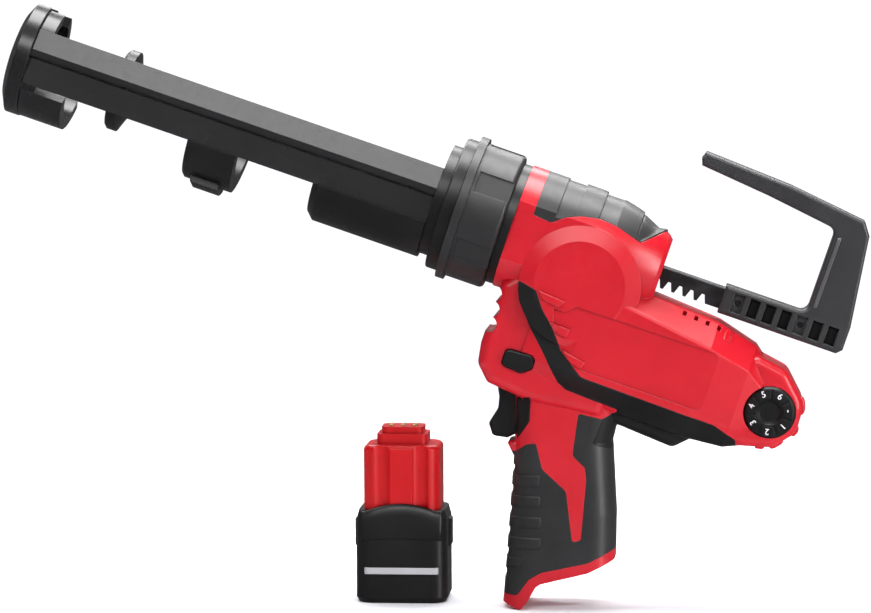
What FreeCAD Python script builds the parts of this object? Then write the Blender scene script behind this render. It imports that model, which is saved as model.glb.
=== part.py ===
import FreeCAD, Part
import math
import os

import Sketcher

V = FreeCAD.Vector
ORIGIN = V(0, 0, 0)

doc = FreeCAD.newDocument("caulking_tool")
sheet = doc.addObject("Spreadsheet::Sheet", "size")

# Driving sizes in millimetres and degrees.
# The part frame stands the grip upright: X runs to the rear, Y to the tool's right, Z up.
# Its origin is the centre of the battery bay's mouth.
# Barrel sizes named station, front or back run rearward along the barrel from the carriage flange,
# and heights and drops are measured square to the barrel.
SIZES = {
    # Barrel
    "barrel_pitch": 19.1,
    "barrel_x": -61.6,
    "barrel_z": 211.0,
    "carriage_roll": 5.0,
    "running_gap": 0.3,
    "fit_gap": 0.1,
    "inner_room": 0.5,
    # Cartridge carriage
    "cartridge_radius": 26.0,
    "cap_radius": 33.0,
    "cap_front": -262.0,
    "cap_back": -250.0,
    "cap_edge": 1.0,
    "cap_bulge": 1.6,
    "cap_round": 3.5,
    "cap_ring_radius": 31.5,
    "cap_ring_back": -242.0,
    "cap_lip_back": -225.0,
    "cap_lip_radius": 32.5,
    "cap_lip_angle": 112.0,
    "nozzle_slot": 24.0,
    "rail_top": 17.2,
    "rail_ledge": 1.6,
    "rail_bottom": -14.5,
    "rail_inner": 26.6,
    "rail_top_outer": 28.4,
    "rail_ledge_outer": 31.6,
    "rail_web_outer": 28.7,
    "rail_foot_outer": 29.6,
    "rail_round": 1.2,
    "saddle_front": -151.0,
    "saddle_back": -122.0,
    "saddle_radius": 35.0,
    "saddle_nose": 1.5,
    "saddle_rib_front": -145.0,
    "saddle_rib_back": -128.0,
    "saddle_rib_radius": 39.0,
    "saddle_rib_root": 1.0,
    "saddle_rib_nose": 2.0,
    "saddle_rib_angle": 44.0,
    "cradle_front": -77.0,
    "cradle_radius": 34.5,
    "cradle_nose": 4.0,
    "tail_ring_front": -10.0,
    "tail_ring_radius": 32.0,
    "flange_front": -4.0,
    "flange_back": 3.0,
    "flange_radius": 38.3,
    "flange_round": 1.2,
    "tail_radius": 30.0,
    "tail_bore": 24.6,
    "tail_back": 28.0,
    # Locking collar and barrel socket
    "collar_lip_back": 8.0,
    "collar_lip_radius": 41.7,
    "collar_back": 31.0,
    "collar_radius": 39.3,
    "collar_bore": 35.0,
    "collar_round": 2.5,
    "collar_notches": 6.0,
    "collar_notch_width": 13.0,
    "collar_notch_depth": 1.2,
    "collar_notch_gap": 2.0,
    "socket_back": 35.8,
    "socket_radius": 35.0,
    # Plunger, rack and pull handle
    "plunger_front": -202.0,
    "plunger_rim": 6.5,
    "plunger_radius": 23.5,
    "plunger_edge": 1.5,
    "plunger_step": 4.0,
    "plunger_flare_back": -190.0,
    "plunger_hub_radius": 8.5,
    "plunger_hub_back": -183.0,
    "plunger_screw_radius": 5.0,
    "plunger_screw_head": 2.5,
    "plunger_screw_dome": 0.6,
    "rack_top": 6.2,
    "rack_width": 10.0,
    "rack_round": 1.0,
    "rack_back": 215.0,
    "rack_line": -3.88,
    "gear_module": 2.117,
    "gear_backlash": 0.3,
    "pressure_angle": 20.0,
    "root_share": 1.25,
    "gaps_ahead": 39.0,
    "gaps_behind": 10.0,
    "handle_front": 160.0,
    "handle_back": 233.0,
    "handle_foot": -8.2,
    "handle_block_top": 8.2,
    "handle_chamfer": 3.0,
    "handle_width": 18.0,
    "handle_arm_front": 207.0,
    "handle_arm_back": 226.0,
    "handle_corner": 60.0,
    "handle_elbow": 67.0,
    "handle_elbow_cut": 5.0,
    "handle_bow": 5.5,
    "handle_tip": 125.0,
    "handle_tip_top": 75.0,
    "handle_bar": 8.0,
    "handle_tip_nose": 1.5,
    "handle_round": 2.0,
    "handle_inner_round": 5.0,
    "handle_pockets": 7.0,
    "handle_pocket_first": 6.0,
    "handle_pocket_pitch": 9.2,
    "handle_pocket_width": 6.3,
    "handle_pocket_foot": -5.2,
    "handle_pocket_top": 5.6,
    "handle_pocket_depth": 2.2,
    "handle_pin_radius": 2.0,
    "handle_pin_first": 169.2,
    "handle_pin_second": 206.0,
    "handle_pin_height": 0.5,
    # Drive
    "pinion_station": 82.8,
    "pinion_teeth": 16.0,
    "pinion_width": 12.0,
    "shaft_radius": 5.0,
    "bearing_radius": 8.0,
    "bearing_width": 6.0,
    "drive_module": 1.0,
    "drive_gear_teeth": 50.0,
    "drive_gear_near": 9.0,
    "drive_gear_width": 8.0,
    "drive_pinion_teeth": 12.0,
    "drive_pinion_angle": -20.0,
    "drive_shaft_radius": 3.0,
    "drive_head_radius": 9.0,
    "drive_head_near": -14.0,
    "drive_head_far": 6.5,
    "drive_shaft_seat": 12.0,
    "motor_axis": -42.0,
    "gearbox_radius": 19.0,
    "gearbox_front": 122.0,
    "gearbox_back": 150.0,
    "gearbox_rib": 138.0,
    "motor_radius": 18.0,
    "motor_edge": 1.5,
    "motor_back": 186.0,
    "motor_rib_front": 160.0,
    "motor_rib_back": 180.0,
    "motor_boss_radius": 7.0,
    "motor_boss_length": 3.0,
    "motor_room_radius": 20.5,
    "motor_room_back": 192.0,
    "motor_room_foot": -74.0,
    # Housing
    "shell_wall": 2.2,
    "rubber": 2.0,
    "front_radius": 35.7,
    "top_flat_back": 73.0,
    "top_mid_station": 98.0,
    "top_mid_radius": 32.8,
    "body_back": 121.0,
    "rear_lip": 2.2,
    "top_back_radius": 24.0,
    "body_half": 31.5,
    "boss_radius": 34.2,
    "boss_face_radius": 25.5,
    "boss_half": 34.5,
    "boss_lift": 3.0,
    "panel_half": 32.9,
    "bay_top_round": 4.0,
    "bay_shoulder_round": 3.0,
    "bay_hip_round": 5.0,
    "bay_foot_round": 6.0,
    "trigger_bay_half": 25.0,
    "trigger_bay_round": 6.0,
    "scallop_radius": 4.6,
    "trigger_room_front": 48.0,
    "trigger_room_foot": -79.0,
    "trigger_room_half": 19.0,
    "pod_half": 21.0,
    "pod_round": 5.0,
    "belly_half": 18.0,
    "guide_radius": 10.0,
    "guide_length": 8.0,
    "belly_round": 7.0,
    "lip_half": 13.0,
    "lip_round": 3.0,
    "rib_thickness": 2.5,
    "bearing_seat_wall": 2.5,
    "screw_post_radius": 4.6,
    "screw_recess_radius": 3.2,
    "screw_recess_floor": 12.0,
    "pad_steps": 3.0,
    "pad_step_first": 57.5,
    "pad_step_pitch": 23.0,
    "pad_step_length": 10.5,
    "pad_step_depth": 1.0,
    "vents": 5.0,
    "vent_first": 143.0,
    "vent_pitch": 6.9,
    "vent_width": 2.2,
    "vent_length": 4.0,
    "vent_depth": 7.0,
    "vent_across": 19.5,
    "vent_lean": 36.0,
    # Grip and battery bay
    "grip_half_top": 21.5,
    "grip_half_foot": 23.5,
    "grip_corner": 15.0,
    "finger_ribs": 5.0,
    "finger_rib_pitch": 11.8,
    "finger_rib_first": 7.3,
    "finger_groove": 4.8,
    "finger_groove_depth": 1.3,
    # Controls
    "trigger_half": 9.0,
    "trigger_travel": 6.0,
    "trigger_slot_steps": 6.0,
    "trigger_round": 2.5,
    "lock_round": 1.2,
    "lock_station": 64.0,
    "lock_drop": -69.0,
    "lock_proud": 2.5,
    "lock_travel": 4.0,
    "dial_station": 205.6,
    "dial_drop": -50.3,
    "dial_radius": 14.4,
    "dial_dish_radius": 7.2,
    "dial_dish": 1.6,
    "dial_near": -22.0,
    "dial_thickness": 6.0,
    "dial_hub_radius": 3.0,
    "dial_hub_length": 4.0,
    "dial_control_gap": 1.0,
    "dial_edge": 1.0,
    "dial_control_radius": 8.0,
    "dial_control_length": 9.0,
    # Electrics in the grip
    "switch_front": -11.5,
    "switch_back": 12.0,
    "switch_foot": 76.0,
    "switch_top": 98.0,
    "switch_half": 11.0,
    "switch_round": 1.5,
    "wire_window": 16.0,
    "board_front": 14.0,
    "board_thickness": 1.6,
    "board_half": 14.0,
    "board_part": 8.0,
    "terminal_foot": 44.0,
    "terminal_height": 9.0,
    "terminal_recess": 5.0,
    "plug_room": 0.5,
    # Battery
    "battery_x": -92.5,
    "battery_y": 18.0,
    "battery_floor": -16.4,
    "battery_foot_width": 52.5,
    "battery_foot_depth": 44.0,
    "battery_foot_height": 53.0,
    "battery_shoulder": 3.0,
    "battery_corner": 9.0,
    "tower_width": 44.0,
    "tower_depth": 38.0,
    "tower_height": 37.0,
    "plug_width": 24.0,
    "plug_depth": 20.0,
    "plug_height": 3.8,
    "plug_base_width": 29.0,
    "plug_base_depth": 25.0,
    "plug_base_height": 6.0,
    "battery_wall": 1.6,
    "cell_radius": 9.2,
    "cell_length": 65.0,
    "latch_width": 12.0,
    "latch_height": 16.0,
    "latch_proud": 1.5,
    "latch_inside": 1.0,
    "latch_round": 1.0,
    "tower_round": 3.0,
    "flute_radius": 6.0,
    "flute_depth": 2.5,
    "flute_across": 11.2,
    "plug_corner": 4.0,
    "contact_width": 2.4,
    "contact_length": 12.0,
    "contact_thickness": 0.6,
    "contact_pitch": 7.0,
}


def fill_sheet():
    """Write every driving size into the sheet under its own name."""
    for row, (name, amount) in enumerate(SIZES.items(), start=1):
        sheet.set("A%d" % row, name)
        sheet.set("B%d" % row, str(amount))
        sheet.setAlias("B%d" % row, name)
    doc.recompute()


def size(name):
    """A driving size as the sheet holds it."""
    return float(sheet.get(name))


fill_sheet()
PINION_DROP = size("rack_line") - size("gear_module") * size("pinion_teeth") / 2
SKIN = size("rubber")
CAVITY = size("rubber") + size("shell_wall")
BARREL = FreeCAD.Placement(
    V(size("barrel_x"), 0, size("barrel_z")),
    FreeCAD.Rotation(V(0, 1, 0), size("barrel_pitch")),
)
CARRIAGE = BARREL.multiply(
    FreeCAD.Placement(ORIGIN, FreeCAD.Rotation(V(1, 0, 0), -size("carriage_roll")))
)
UPRIGHT = FreeCAD.Placement()
sub_parts = []


def keep(piece, label, placement):
    """Name a finished piece, put it in its place and list it for writing."""
    piece.Label = label
    piece.Placement = placement
    sub_parts.append(piece)
    return piece


def feature(label, shape, placement=UPRIGHT):
    """A piece whose form comes straight from solid modelling functions."""
    piece = doc.addObject("Part::Feature", label)
    piece.Shape = shape
    return keep(piece, label, placement)


def plane(body, role):
    """The body's own origin plane or axis of that role."""
    return [item for item in body.Origin.OriginFeatures if item.Role == role][0]


def new_sketch(body, name, role, offset):
    """An empty sketch on one of the body's origin planes, lifted off it by offset."""
    sketch = body.newObject("Sketcher::SketchObject", name)
    sketch.AttachmentSupport = [(plane(body, role), "")]
    sketch.MapMode = "FlatFace"
    if offset:
        sketch.setExpression("AttachmentOffset.Base.z", offset)
    return sketch


def outline(body, name, role, points, offset=None):
    """A closed outline whose corners are held by expressions on the driving sizes."""
    sketch = new_sketch(body, name, role, offset)
    places = [(float(sketch.evalExpression(u)), float(sketch.evalExpression(v))) for u, v in points]
    count = len(places)
    for index in range(count):
        start = V(places[index][0], places[index][1], 0)
        following = places[(index + 1) % count]
        sketch.addGeometry(Part.LineSegment(start, V(following[0], following[1], 0)))
    for index in range(count):
        sketch.addConstraint(Sketcher.Constraint("Coincident", index, 2, (index + 1) % count, 1))
    for index, (u, v) in enumerate(points):
        for kind, text, place in zip(("DistanceX", "DistanceY"), (u, v), places[index]):
            held = sketch.addConstraint(Sketcher.Constraint(kind, -1, 1, index, 1, place))
            sketch.setExpression("Constraints[%d]" % held, text)
    return sketch


def ring(body, name, role, radius, centre=("0", "0"), offset=None):
    """A circle whose radius and centre follow the driving sizes."""
    sketch = new_sketch(body, name, role, offset)
    middle = V(float(sketch.evalExpression(centre[0])), float(sketch.evalExpression(centre[1])), 0)
    start = float(sketch.evalExpression(radius))
    sketch.addGeometry(Part.Circle(middle, V(0, 0, 1), start))
    held = sketch.addConstraint(Sketcher.Constraint("Radius", 0, start))
    sketch.setExpression("Constraints[%d]" % held, radius)
    for kind, text, place in zip(("DistanceX", "DistanceY"), centre, (middle.x, middle.y)):
        held = sketch.addConstraint(Sketcher.Constraint(kind, -1, 1, 0, 3, place))
        sketch.setExpression("Constraints[%d]" % held, text)
    return sketch


def new_body(name):
    return doc.addObject("PartDesign::Body", name)


def turn(body, sketch, name, angle=360):
    """Turn an outline about the sketch's horizontal axis, equally to both sides."""
    turned = body.newObject("PartDesign::Revolution", name)
    turned.Profile = sketch
    turned.ReferenceAxis = (sketch, ["H_Axis"])
    turned.Midplane = True
    if isinstance(angle, str):
        turned.setExpression("Angle", angle)
    else:
        turned.Angle = angle
    doc.recompute()
    return turned


def pad(body, sketch, name, length, midplane=True):
    """Give an outline its thickness."""
    padded = body.newObject("PartDesign::Pad", name)
    padded.Profile = sketch
    padded.Midplane = midplane
    padded.setExpression("Length", length)
    doc.recompute()
    return padded


def cut(body, sketch, name, length=None):
    """Cut an outline away to both sides of its plane, right through where no length is given."""
    before = body.Shape.Volume
    pocket = body.newObject("PartDesign::Pocket", name)
    pocket.Profile = sketch
    pocket.Midplane = True
    if length:
        pocket.setExpression("Length", length)
    else:
        pocket.Type = "ThroughAll"
    doc.recompute()
    if body.Shape.Volume >= before:
        raise RuntimeError("%s cuts nothing" % name)
    return pocket


def soften(body, name, radius, chosen):
    """Round the edges that the test picks."""
    base = body.Tip
    names = ["Edge%d" % (n + 1) for n, edge in enumerate(base.Shape.Edges) if chosen(edge)]
    fillet = body.newObject("PartDesign::Fillet", name)
    fillet.Base = (base, names)
    fillet.setExpression("Radius", radius)
    doc.recompute()
    return fillet


def on_circle(radius, station):
    """A test for a full or part circle round the X axis, of that radius and at that station."""

    def test(edge):
        curve = edge.Curve
        if not isinstance(curve, Part.Circle):
            return False
        same = abs(curve.Radius - radius) < 0.01 and abs(curve.Center.x - station) < 0.01
        return same and abs(curve.Axis.x) > 0.99

    return test


def runs_along(direction, shortest):
    """A test for a straight edge along a direction, at least so long."""

    def test(edge):
        if not isinstance(edge.Curve, Part.Line) or edge.Length < shortest:
            return False
        return abs(edge.Curve.Direction.dot(direction)) > 0.999

    return test


# Cartridge carriage: a nose cap, two rails, two saddles and a flange round the cartridge.


def nose_cap():
    body = new_body("nose_cap")
    profile = [
        ("size.cap_front - size.cap_bulge", "0"),
        ("size.cap_front", "size.cap_radius - 2 * size.cap_round"),
        ("size.cap_front + size.cap_round", "size.cap_radius"),
        ("size.cap_back - size.cap_edge", "size.cap_radius"),
        ("size.cap_back", "size.cap_ring_radius"),
        ("size.cap_ring_back", "size.cap_ring_radius"),
        ("size.cap_ring_back", "size.cartridge_radius"),
        ("size.cap_back", "size.cartridge_radius"),
        ("size.cap_back", "0"),
    ]
    turn(body, outline(body, "cap_profile", "XZ_Plane", profile), "cap_turn")
    lip = [
        ("size.cap_back", "-size.cartridge_radius"),
        ("size.cap_lip_back", "-size.cartridge_radius"),
        ("size.cap_lip_back", "-size.cap_lip_radius"),
        ("size.cap_back", "-size.cap_lip_radius"),
    ]
    turn(body, outline(body, "lip_profile", "XZ_Plane", lip), "lip_turn", "size.cap_lip_angle")
    slot = [
        ("-size.nozzle_slot / 2", "0"),
        ("size.nozzle_slot / 2", "0"),
        ("size.nozzle_slot / 2", "2 * size.cap_radius"),
        ("-size.nozzle_slot / 2", "2 * size.cap_radius"),
    ]
    cut(body, outline(body, "slot_sides", "YZ_Plane", slot), "slot")
    cut(body, ring(body, "slot_round", "YZ_Plane", "size.nozzle_slot / 2"), "slot_end")
    beyond = "2 * size.cap_ring_back - size.cap_back"
    seat = [
        ("size.cap_back", "size.rail_bottom"),
        (beyond, "size.rail_bottom"),
        (beyond, "size.rail_top"),
        ("size.cap_back", "size.rail_top"),
    ]
    cut(body, outline(body, "rail_seat_outline", "XZ_Plane", seat), "rail_seats")
    keep(body, "nose_cap", CARRIAGE)


def rail(label, side):
    """A ledged side rail, with side -1 on the tool's left and 1 on its right."""
    body = new_body(label)
    section = [
        ("rail_inner", "rail_top"),
        ("rail_top_outer", "rail_top"),
        ("rail_ledge_outer", "rail_ledge + 3 * size.rail_round"),
        ("rail_ledge_outer", "rail_ledge"),
        ("rail_web_outer", "rail_ledge - size.rail_round"),
        ("rail_foot_outer", "rail_bottom"),
        ("rail_inner", "rail_bottom"),
    ]
    points = [("%d * size.%s" % (side, across), "size.%s" % up) for across, up in section]
    sketch = outline(body, label + "_section", "YZ_Plane", points, "size.cap_back")
    pad(body, sketch, label + "_bar", "size.tail_ring_front - size.cap_back", False)

    def rounded(edge):
        level = edge.CenterOfMass.z
        outer = abs(edge.CenterOfMass.y) > size("rail_foot_outer")
        along = runs_along(V(1, 0, 0), 50)(edge)
        return along and outer and level > size("rail_bottom") + size("rail_round")

    soften(body, label + "_edges", "size.rail_round", rounded)
    keep(body, label, CARRIAGE)


def saddle(label, front, back, radius, nose):
    """The lower part of a ring that joins the rails under the cartridge."""
    body = new_body(label)
    profile = [
        (front, "-size.cartridge_radius"),
        (back, "-size.cartridge_radius"),
        (back, "-(%s)" % radius),
        ("%s + %s" % (front, nose), "-(%s)" % radius),
        (front, "-(%s) + %s" % (radius, nose)),
    ]
    turn(body, outline(body, label + "_profile", "XZ_Plane", profile), label + "_turn")
    above = [
        ("-2 * (%s)" % radius, "size.rail_bottom"),
        ("2 * (%s)" % radius, "size.rail_bottom"),
        ("2 * (%s)" % radius, "2 * (%s)" % radius),
        ("-2 * (%s)" % radius, "2 * (%s)" % radius),
    ]
    cut(body, outline(body, label + "_above", "YZ_Plane", above), label + "_open")
    return body


def mid_saddle():
    body = saddle(
        "mid_saddle", "size.saddle_front", "size.saddle_back", "size.saddle_radius", "size.saddle_nose"
    )
    rib = [
        ("size.saddle_rib_front", "-size.saddle_radius + size.saddle_rib_root"),
        ("size.saddle_rib_back", "-size.saddle_radius + size.saddle_rib_root"),
        ("size.saddle_rib_back", "-size.saddle_rib_radius"),
        ("size.saddle_rib_front + size.saddle_rib_nose", "-size.saddle_rib_radius"),
        ("size.saddle_rib_front", "-size.saddle_rib_radius + size.saddle_rib_nose"),
    ]
    turn(body, outline(body, "rib_profile", "XZ_Plane", rib), "rib_turn", "size.saddle_rib_angle")
    keep(body, "mid_saddle", CARRIAGE)


def rear_cradle():
    body = saddle(
        "rear_cradle", "size.cradle_front", "size.tail_ring_front", "size.cradle_radius", "size.cradle_nose"
    )
    keep(body, "rear_cradle", CARRIAGE)


def carriage_flange():
    body = new_body("carriage_flange")
    profile = [
        ("size.tail_ring_front", "size.tail_bore"),
        ("size.tail_ring_front", "size.tail_ring_radius"),
        ("size.flange_front", "size.tail_ring_radius"),
        ("size.flange_front", "size.flange_radius"),
        ("size.flange_back", "size.flange_radius"),
        ("size.flange_back", "size.tail_radius"),
        ("size.tail_back", "size.tail_radius"),
        ("size.tail_back", "size.tail_bore"),
    ]
    turn(body, outline(body, "flange_profile", "XZ_Plane", profile), "flange_turn")
    soften(body, "flange_edge", "size.flange_round", on_circle(size("flange_radius"), size("flange_front")))
    keep(body, "carriage_flange", CARRIAGE)


def locking_collar():
    """A grip ring that turns on the barrel socket and holds the carriage's tail."""
    body = new_body("locking_collar")
    front = "size.flange_back + size.running_gap"
    back = "size.collar_back - size.running_gap"
    profile = [
        (front, "size.tail_radius + size.running_gap"),
        (front, "size.collar_lip_radius"),
        ("size.collar_lip_back", "size.collar_lip_radius"),
        ("size.collar_lip_back", "size.collar_radius"),
        (back, "size.collar_radius"),
        (back, "size.collar_bore"),
        ("size.collar_lip_back", "size.collar_bore"),
        ("size.collar_lip_back", "size.tail_radius + size.running_gap"),
    ]
    turn(body, outline(body, "collar_profile", "XZ_Plane", profile), "collar_turn")
    rim = on_circle(size("collar_radius"), size("collar_back") - size("running_gap"))
    soften(body, "collar_edge", "size.collar_round", rim)
    notch = [
        ("-size.collar_notch_width / 2", "size.collar_radius - size.collar_notch_depth"),
        ("size.collar_notch_width / 2", "size.collar_radius - size.collar_notch_depth"),
        ("size.collar_notch_width / 2", "size.collar_radius + size.collar_notch_depth"),
        ("-size.collar_notch_width / 2", "size.collar_radius + size.collar_notch_depth"),
    ]
    middle = "(size.collar_lip_back + size.collar_back) / 2 + size.collar_notch_gap"
    sketch = outline(body, "notch_outline", "YZ_Plane", notch, middle)
    notch_cut = cut(body, sketch, "notch", "size.collar_back - size.collar_lip_back")
    around = body.newObject("PartDesign::PolarPattern", "notches")
    around.Originals = [notch_cut]
    around.Axis = (plane(body, "X_Axis"), [""])
    around.Angle = 360
    around.setExpression("Occurrences", "size.collar_notches")
    body.Tip = around
    doc.recompute()
    keep(body, "locking_collar", BARREL)


def barrel_socket():
    """The black sleeve on the housing's front that the carriage's tail turns in."""
    body = new_body("barrel_socket")
    profile = [
        ("size.collar_lip_back + size.running_gap", "size.tail_radius + size.running_gap"),
        ("size.collar_lip_back + size.running_gap", "size.collar_bore - size.running_gap"),
        ("size.collar_back", "size.collar_bore - size.running_gap"),
        ("size.collar_back", "size.socket_radius"),
        ("size.socket_back", "size.socket_radius"),
        ("size.socket_back", "size.guide_radius"),
        ("size.collar_back", "size.guide_radius"),
        ("size.collar_back", "size.tail_radius + size.running_gap"),
    ]
    turn(body, outline(body, "socket_profile", "XZ_Plane", profile), "socket_turn")
    keep(body, "barrel_socket", BARREL)


# Plunger, rack and pull handle: one body that slides along the barrel.


def plunger_disc():
    body = new_body("plunger_disc")
    rim_back = "size.plunger_front + size.plunger_rim"
    profile = [
        ("size.plunger_front", "size.plunger_screw_radius"),
        ("size.plunger_front", "size.plunger_radius - size.plunger_edge"),
        ("size.plunger_front + size.plunger_edge", "size.plunger_radius"),
        (rim_back, "size.plunger_radius"),
        (rim_back + " + size.plunger_edge", "size.plunger_radius - size.plunger_step"),
        ("size.plunger_flare_back", "size.plunger_hub_radius + size.plunger_edge"),
        ("size.plunger_hub_back", "size.plunger_hub_radius"),
        ("size.plunger_hub_back", "0"),
        ("size.plunger_front + size.plunger_screw_head", "0"),
        ("size.plunger_front + size.plunger_screw_head", "size.plunger_screw_radius"),
    ]
    turn(body, outline(body, "plunger_profile", "XZ_Plane", profile), "plunger_turn")
    keep(body, "plunger_disc", BARREL)


def plunger_screw():
    body = new_body("plunger_screw")
    profile = [
        ("size.plunger_front - size.plunger_screw_dome", "0"),
        ("size.plunger_front - size.plunger_screw_dome", "size.plunger_screw_radius - size.plunger_edge"),
        ("size.plunger_front", "size.plunger_screw_radius - size.fit_gap"),
        ("size.plunger_front + size.plunger_screw_head", "size.plunger_screw_radius - size.fit_gap"),
        ("size.plunger_front + size.plunger_screw_head", "0"),
    ]
    turn(body, outline(body, "screw_profile", "XZ_Plane", profile), "screw_turn")
    keep(body, "plunger_screw", BARREL)


def rack():
    """A square bar with straight-sided teeth along its underside."""
    body = new_body("rack")
    module = "size.gear_module"
    line = "size.rack_line"
    tip = "(%s - %s)" % (line, module)
    root = "(%s + size.root_share * %s)" % (line, module)
    bar = [
        ("size.plunger_hub_back", tip),
        ("size.rack_back", tip),
        ("size.rack_back", "size.rack_top"),
        ("size.plunger_hub_back", "size.rack_top"),
    ]
    pad(body, outline(body, "bar_outline", "XZ_Plane", bar), "bar", "size.rack_width")

    def top_edge(edge):
        return runs_along(V(1, 0, 0), size("rack_back"))(edge) and edge.CenterOfMass.z > 0

    soften(body, "bar_edges", "size.rack_round", top_edge)
    first = "(size.pinion_station - size.gaps_ahead * pi * %s)" % module
    slope = "tan(size.pressure_angle * 1 deg)"
    half = "(pi * %s / 4 + size.gear_backlash / 4)" % module
    deep = "(%s - size.root_share * %s * %s)" % (half, module, slope)
    wide = "(%s + 1.5 * %s * %s)" % (half, module, slope)
    below = "(%s - 1.5 * %s)" % (line, module)
    gap = [
        ("%s - %s" % (first, deep), root),
        ("%s - %s" % (first, wide), below),
        ("%s + %s" % (first, wide), below),
        ("%s + %s" % (first, deep), root),
    ]
    tooth_gap = cut(body, outline(body, "gap_outline", "XZ_Plane", gap), "gap", "2 * size.rack_width")
    gaps = body.newObject("PartDesign::LinearPattern", "gaps")
    gaps.Originals = [tooth_gap]
    gaps.Direction = (plane(body, "X_Axis"), [""])
    gaps.setExpression("Length", "(size.gaps_ahead + size.gaps_behind) * pi * %s" % module)
    gaps.setExpression("Occurrences", "size.gaps_ahead + size.gaps_behind + 1")
    body.Tip = gaps
    doc.recompute()
    for name in ("handle_pin_first", "handle_pin_second"):
        middle = ("size." + name, "size.handle_pin_height")
        hole = ring(body, name + "_hole", "XZ_Plane", "size.handle_pin_radius", middle)
        cut(body, hole, name + "_bore", "2 * size.rack_width")
    keep(body, "rack", BARREL)


def pull_handle():
    """The L-shaped handle: a block round the rack's end, an upright arm and a long finger bar."""
    body = new_body("pull_handle")
    inner = "size.handle_elbow - size.handle_bar - size.handle_tip_nose"
    sides = [
        ("size.handle_front", "size.handle_foot"),
        ("size.handle_back - size.handle_chamfer", "size.handle_foot"),
        ("size.handle_back", "size.handle_foot + size.handle_chamfer"),
        ("size.handle_back", "size.handle_block_top"),
        ("size.handle_arm_back", "size.handle_corner"),
        ("size.handle_arm_back - size.handle_elbow_cut", "size.handle_elbow"),
        ("(size.handle_arm_back + size.handle_tip) / 2", "size.handle_elbow + size.handle_bow"),
        ("size.handle_tip", "size.handle_tip_top"),
        ("size.handle_tip - size.handle_tip_nose", "size.handle_tip_top - size.handle_bar / 2"),
        ("size.handle_tip", "size.handle_tip_top - size.handle_bar"),
        ("(size.handle_arm_front + size.handle_tip) / 2", inner + " + size.handle_bow"),
        ("size.handle_arm_front", inner),
        ("size.handle_arm_front", "size.handle_block_top"),
        ("size.handle_front", "size.handle_block_top"),
    ]
    pad(body, outline(body, "handle_sides", "XZ_Plane", sides), "handle_solid", "size.handle_width")

    def inside_corner(edge):
        at_arm = abs(edge.CenterOfMass.x - size("handle_arm_front")) < 0.01
        return at_arm and runs_along(V(0, 1, 0), size("handle_round"))(edge)

    soften(body, "handle_corners", "size.handle_inner_round", inside_corner)

    def outside(edge):
        return abs(abs(edge.CenterOfMass.y) - size("handle_width") / 2) < 0.01

    soften(body, "handle_edges", "size.handle_round", outside)
    across = "(size.rack_width / 2 + size.fit_gap)"
    low = "(size.rack_line - size.gear_module - size.fit_gap)"
    socket = [
        ("-" + across, low),
        (across, low),
        (across, "size.rack_top + size.fit_gap"),
        ("-" + across, "size.rack_top + size.fit_gap"),
    ]
    bore = outline(body, "socket_outline", "YZ_Plane", socket, "size.handle_front")
    cut(body, bore, "socket", "2 * (size.rack_back - size.handle_front)")
    for name in ("handle_pin_first", "handle_pin_second"):
        middle = ("size." + name, "size.handle_pin_height")
        hole = ring(body, name + "_hole", "XZ_Plane", "size.handle_pin_radius", middle)
        cut(body, hole, name + "_bore", "2 * size.handle_width")
    front = "size.handle_front + size.handle_pocket_first"
    pocket = [
        (front, "size.handle_pocket_foot"),
        (front + " + size.handle_pocket_width", "size.handle_pocket_foot"),
        (front + " + size.handle_pocket_width", "size.handle_pocket_top"),
        (front, "size.handle_pocket_top"),
    ]
    sketches = []
    for side in (-1, 1):
        lift = "%d * (size.handle_width / 2)" % side
        sketch = outline(body, "pocket_outline_%d" % (side + 1), "XZ_Plane", pocket, lift)
        sketches.append(cut(body, sketch, "pocket_%d" % (side + 1), "2 * size.handle_pocket_depth"))
    row = body.newObject("PartDesign::LinearPattern", "pockets")
    row.Originals = sketches
    row.Direction = (plane(body, "X_Axis"), [""])
    row.setExpression("Length", "(size.handle_pockets - 1) * size.handle_pocket_pitch")
    row.setExpression("Occurrences", "size.handle_pockets")
    body.Tip = row
    doc.recompute()
    keep(body, "pull_handle", BARREL)


def handle_pins():
    """Two cross pins that hold the pull handle on the rack."""
    pins = []
    for name in ("handle_pin_first", "handle_pin_second"):
        half = size("handle_width") / 2 - size("handle_pocket_depth")
        radius = size("handle_pin_radius") - size("fit_gap") / 2
        start = V(size(name), -half, size("handle_pin_height"))
        pins.append(Part.makeCylinder(radius, 2 * half, start, V(0, 1, 0)))
    feature("handle_pins", Part.makeCompound(pins), BARREL)


# Drive: a rack pinion and a drive gear on one shaft, turned by a small pinion at the gearbox.


def on_barrel(station, height, rotation=FreeCAD.Rotation()):
    """A placement at a station and height along the barrel."""
    return BARREL.multiply(FreeCAD.Placement(V(station, 0, height), rotation))


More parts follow.
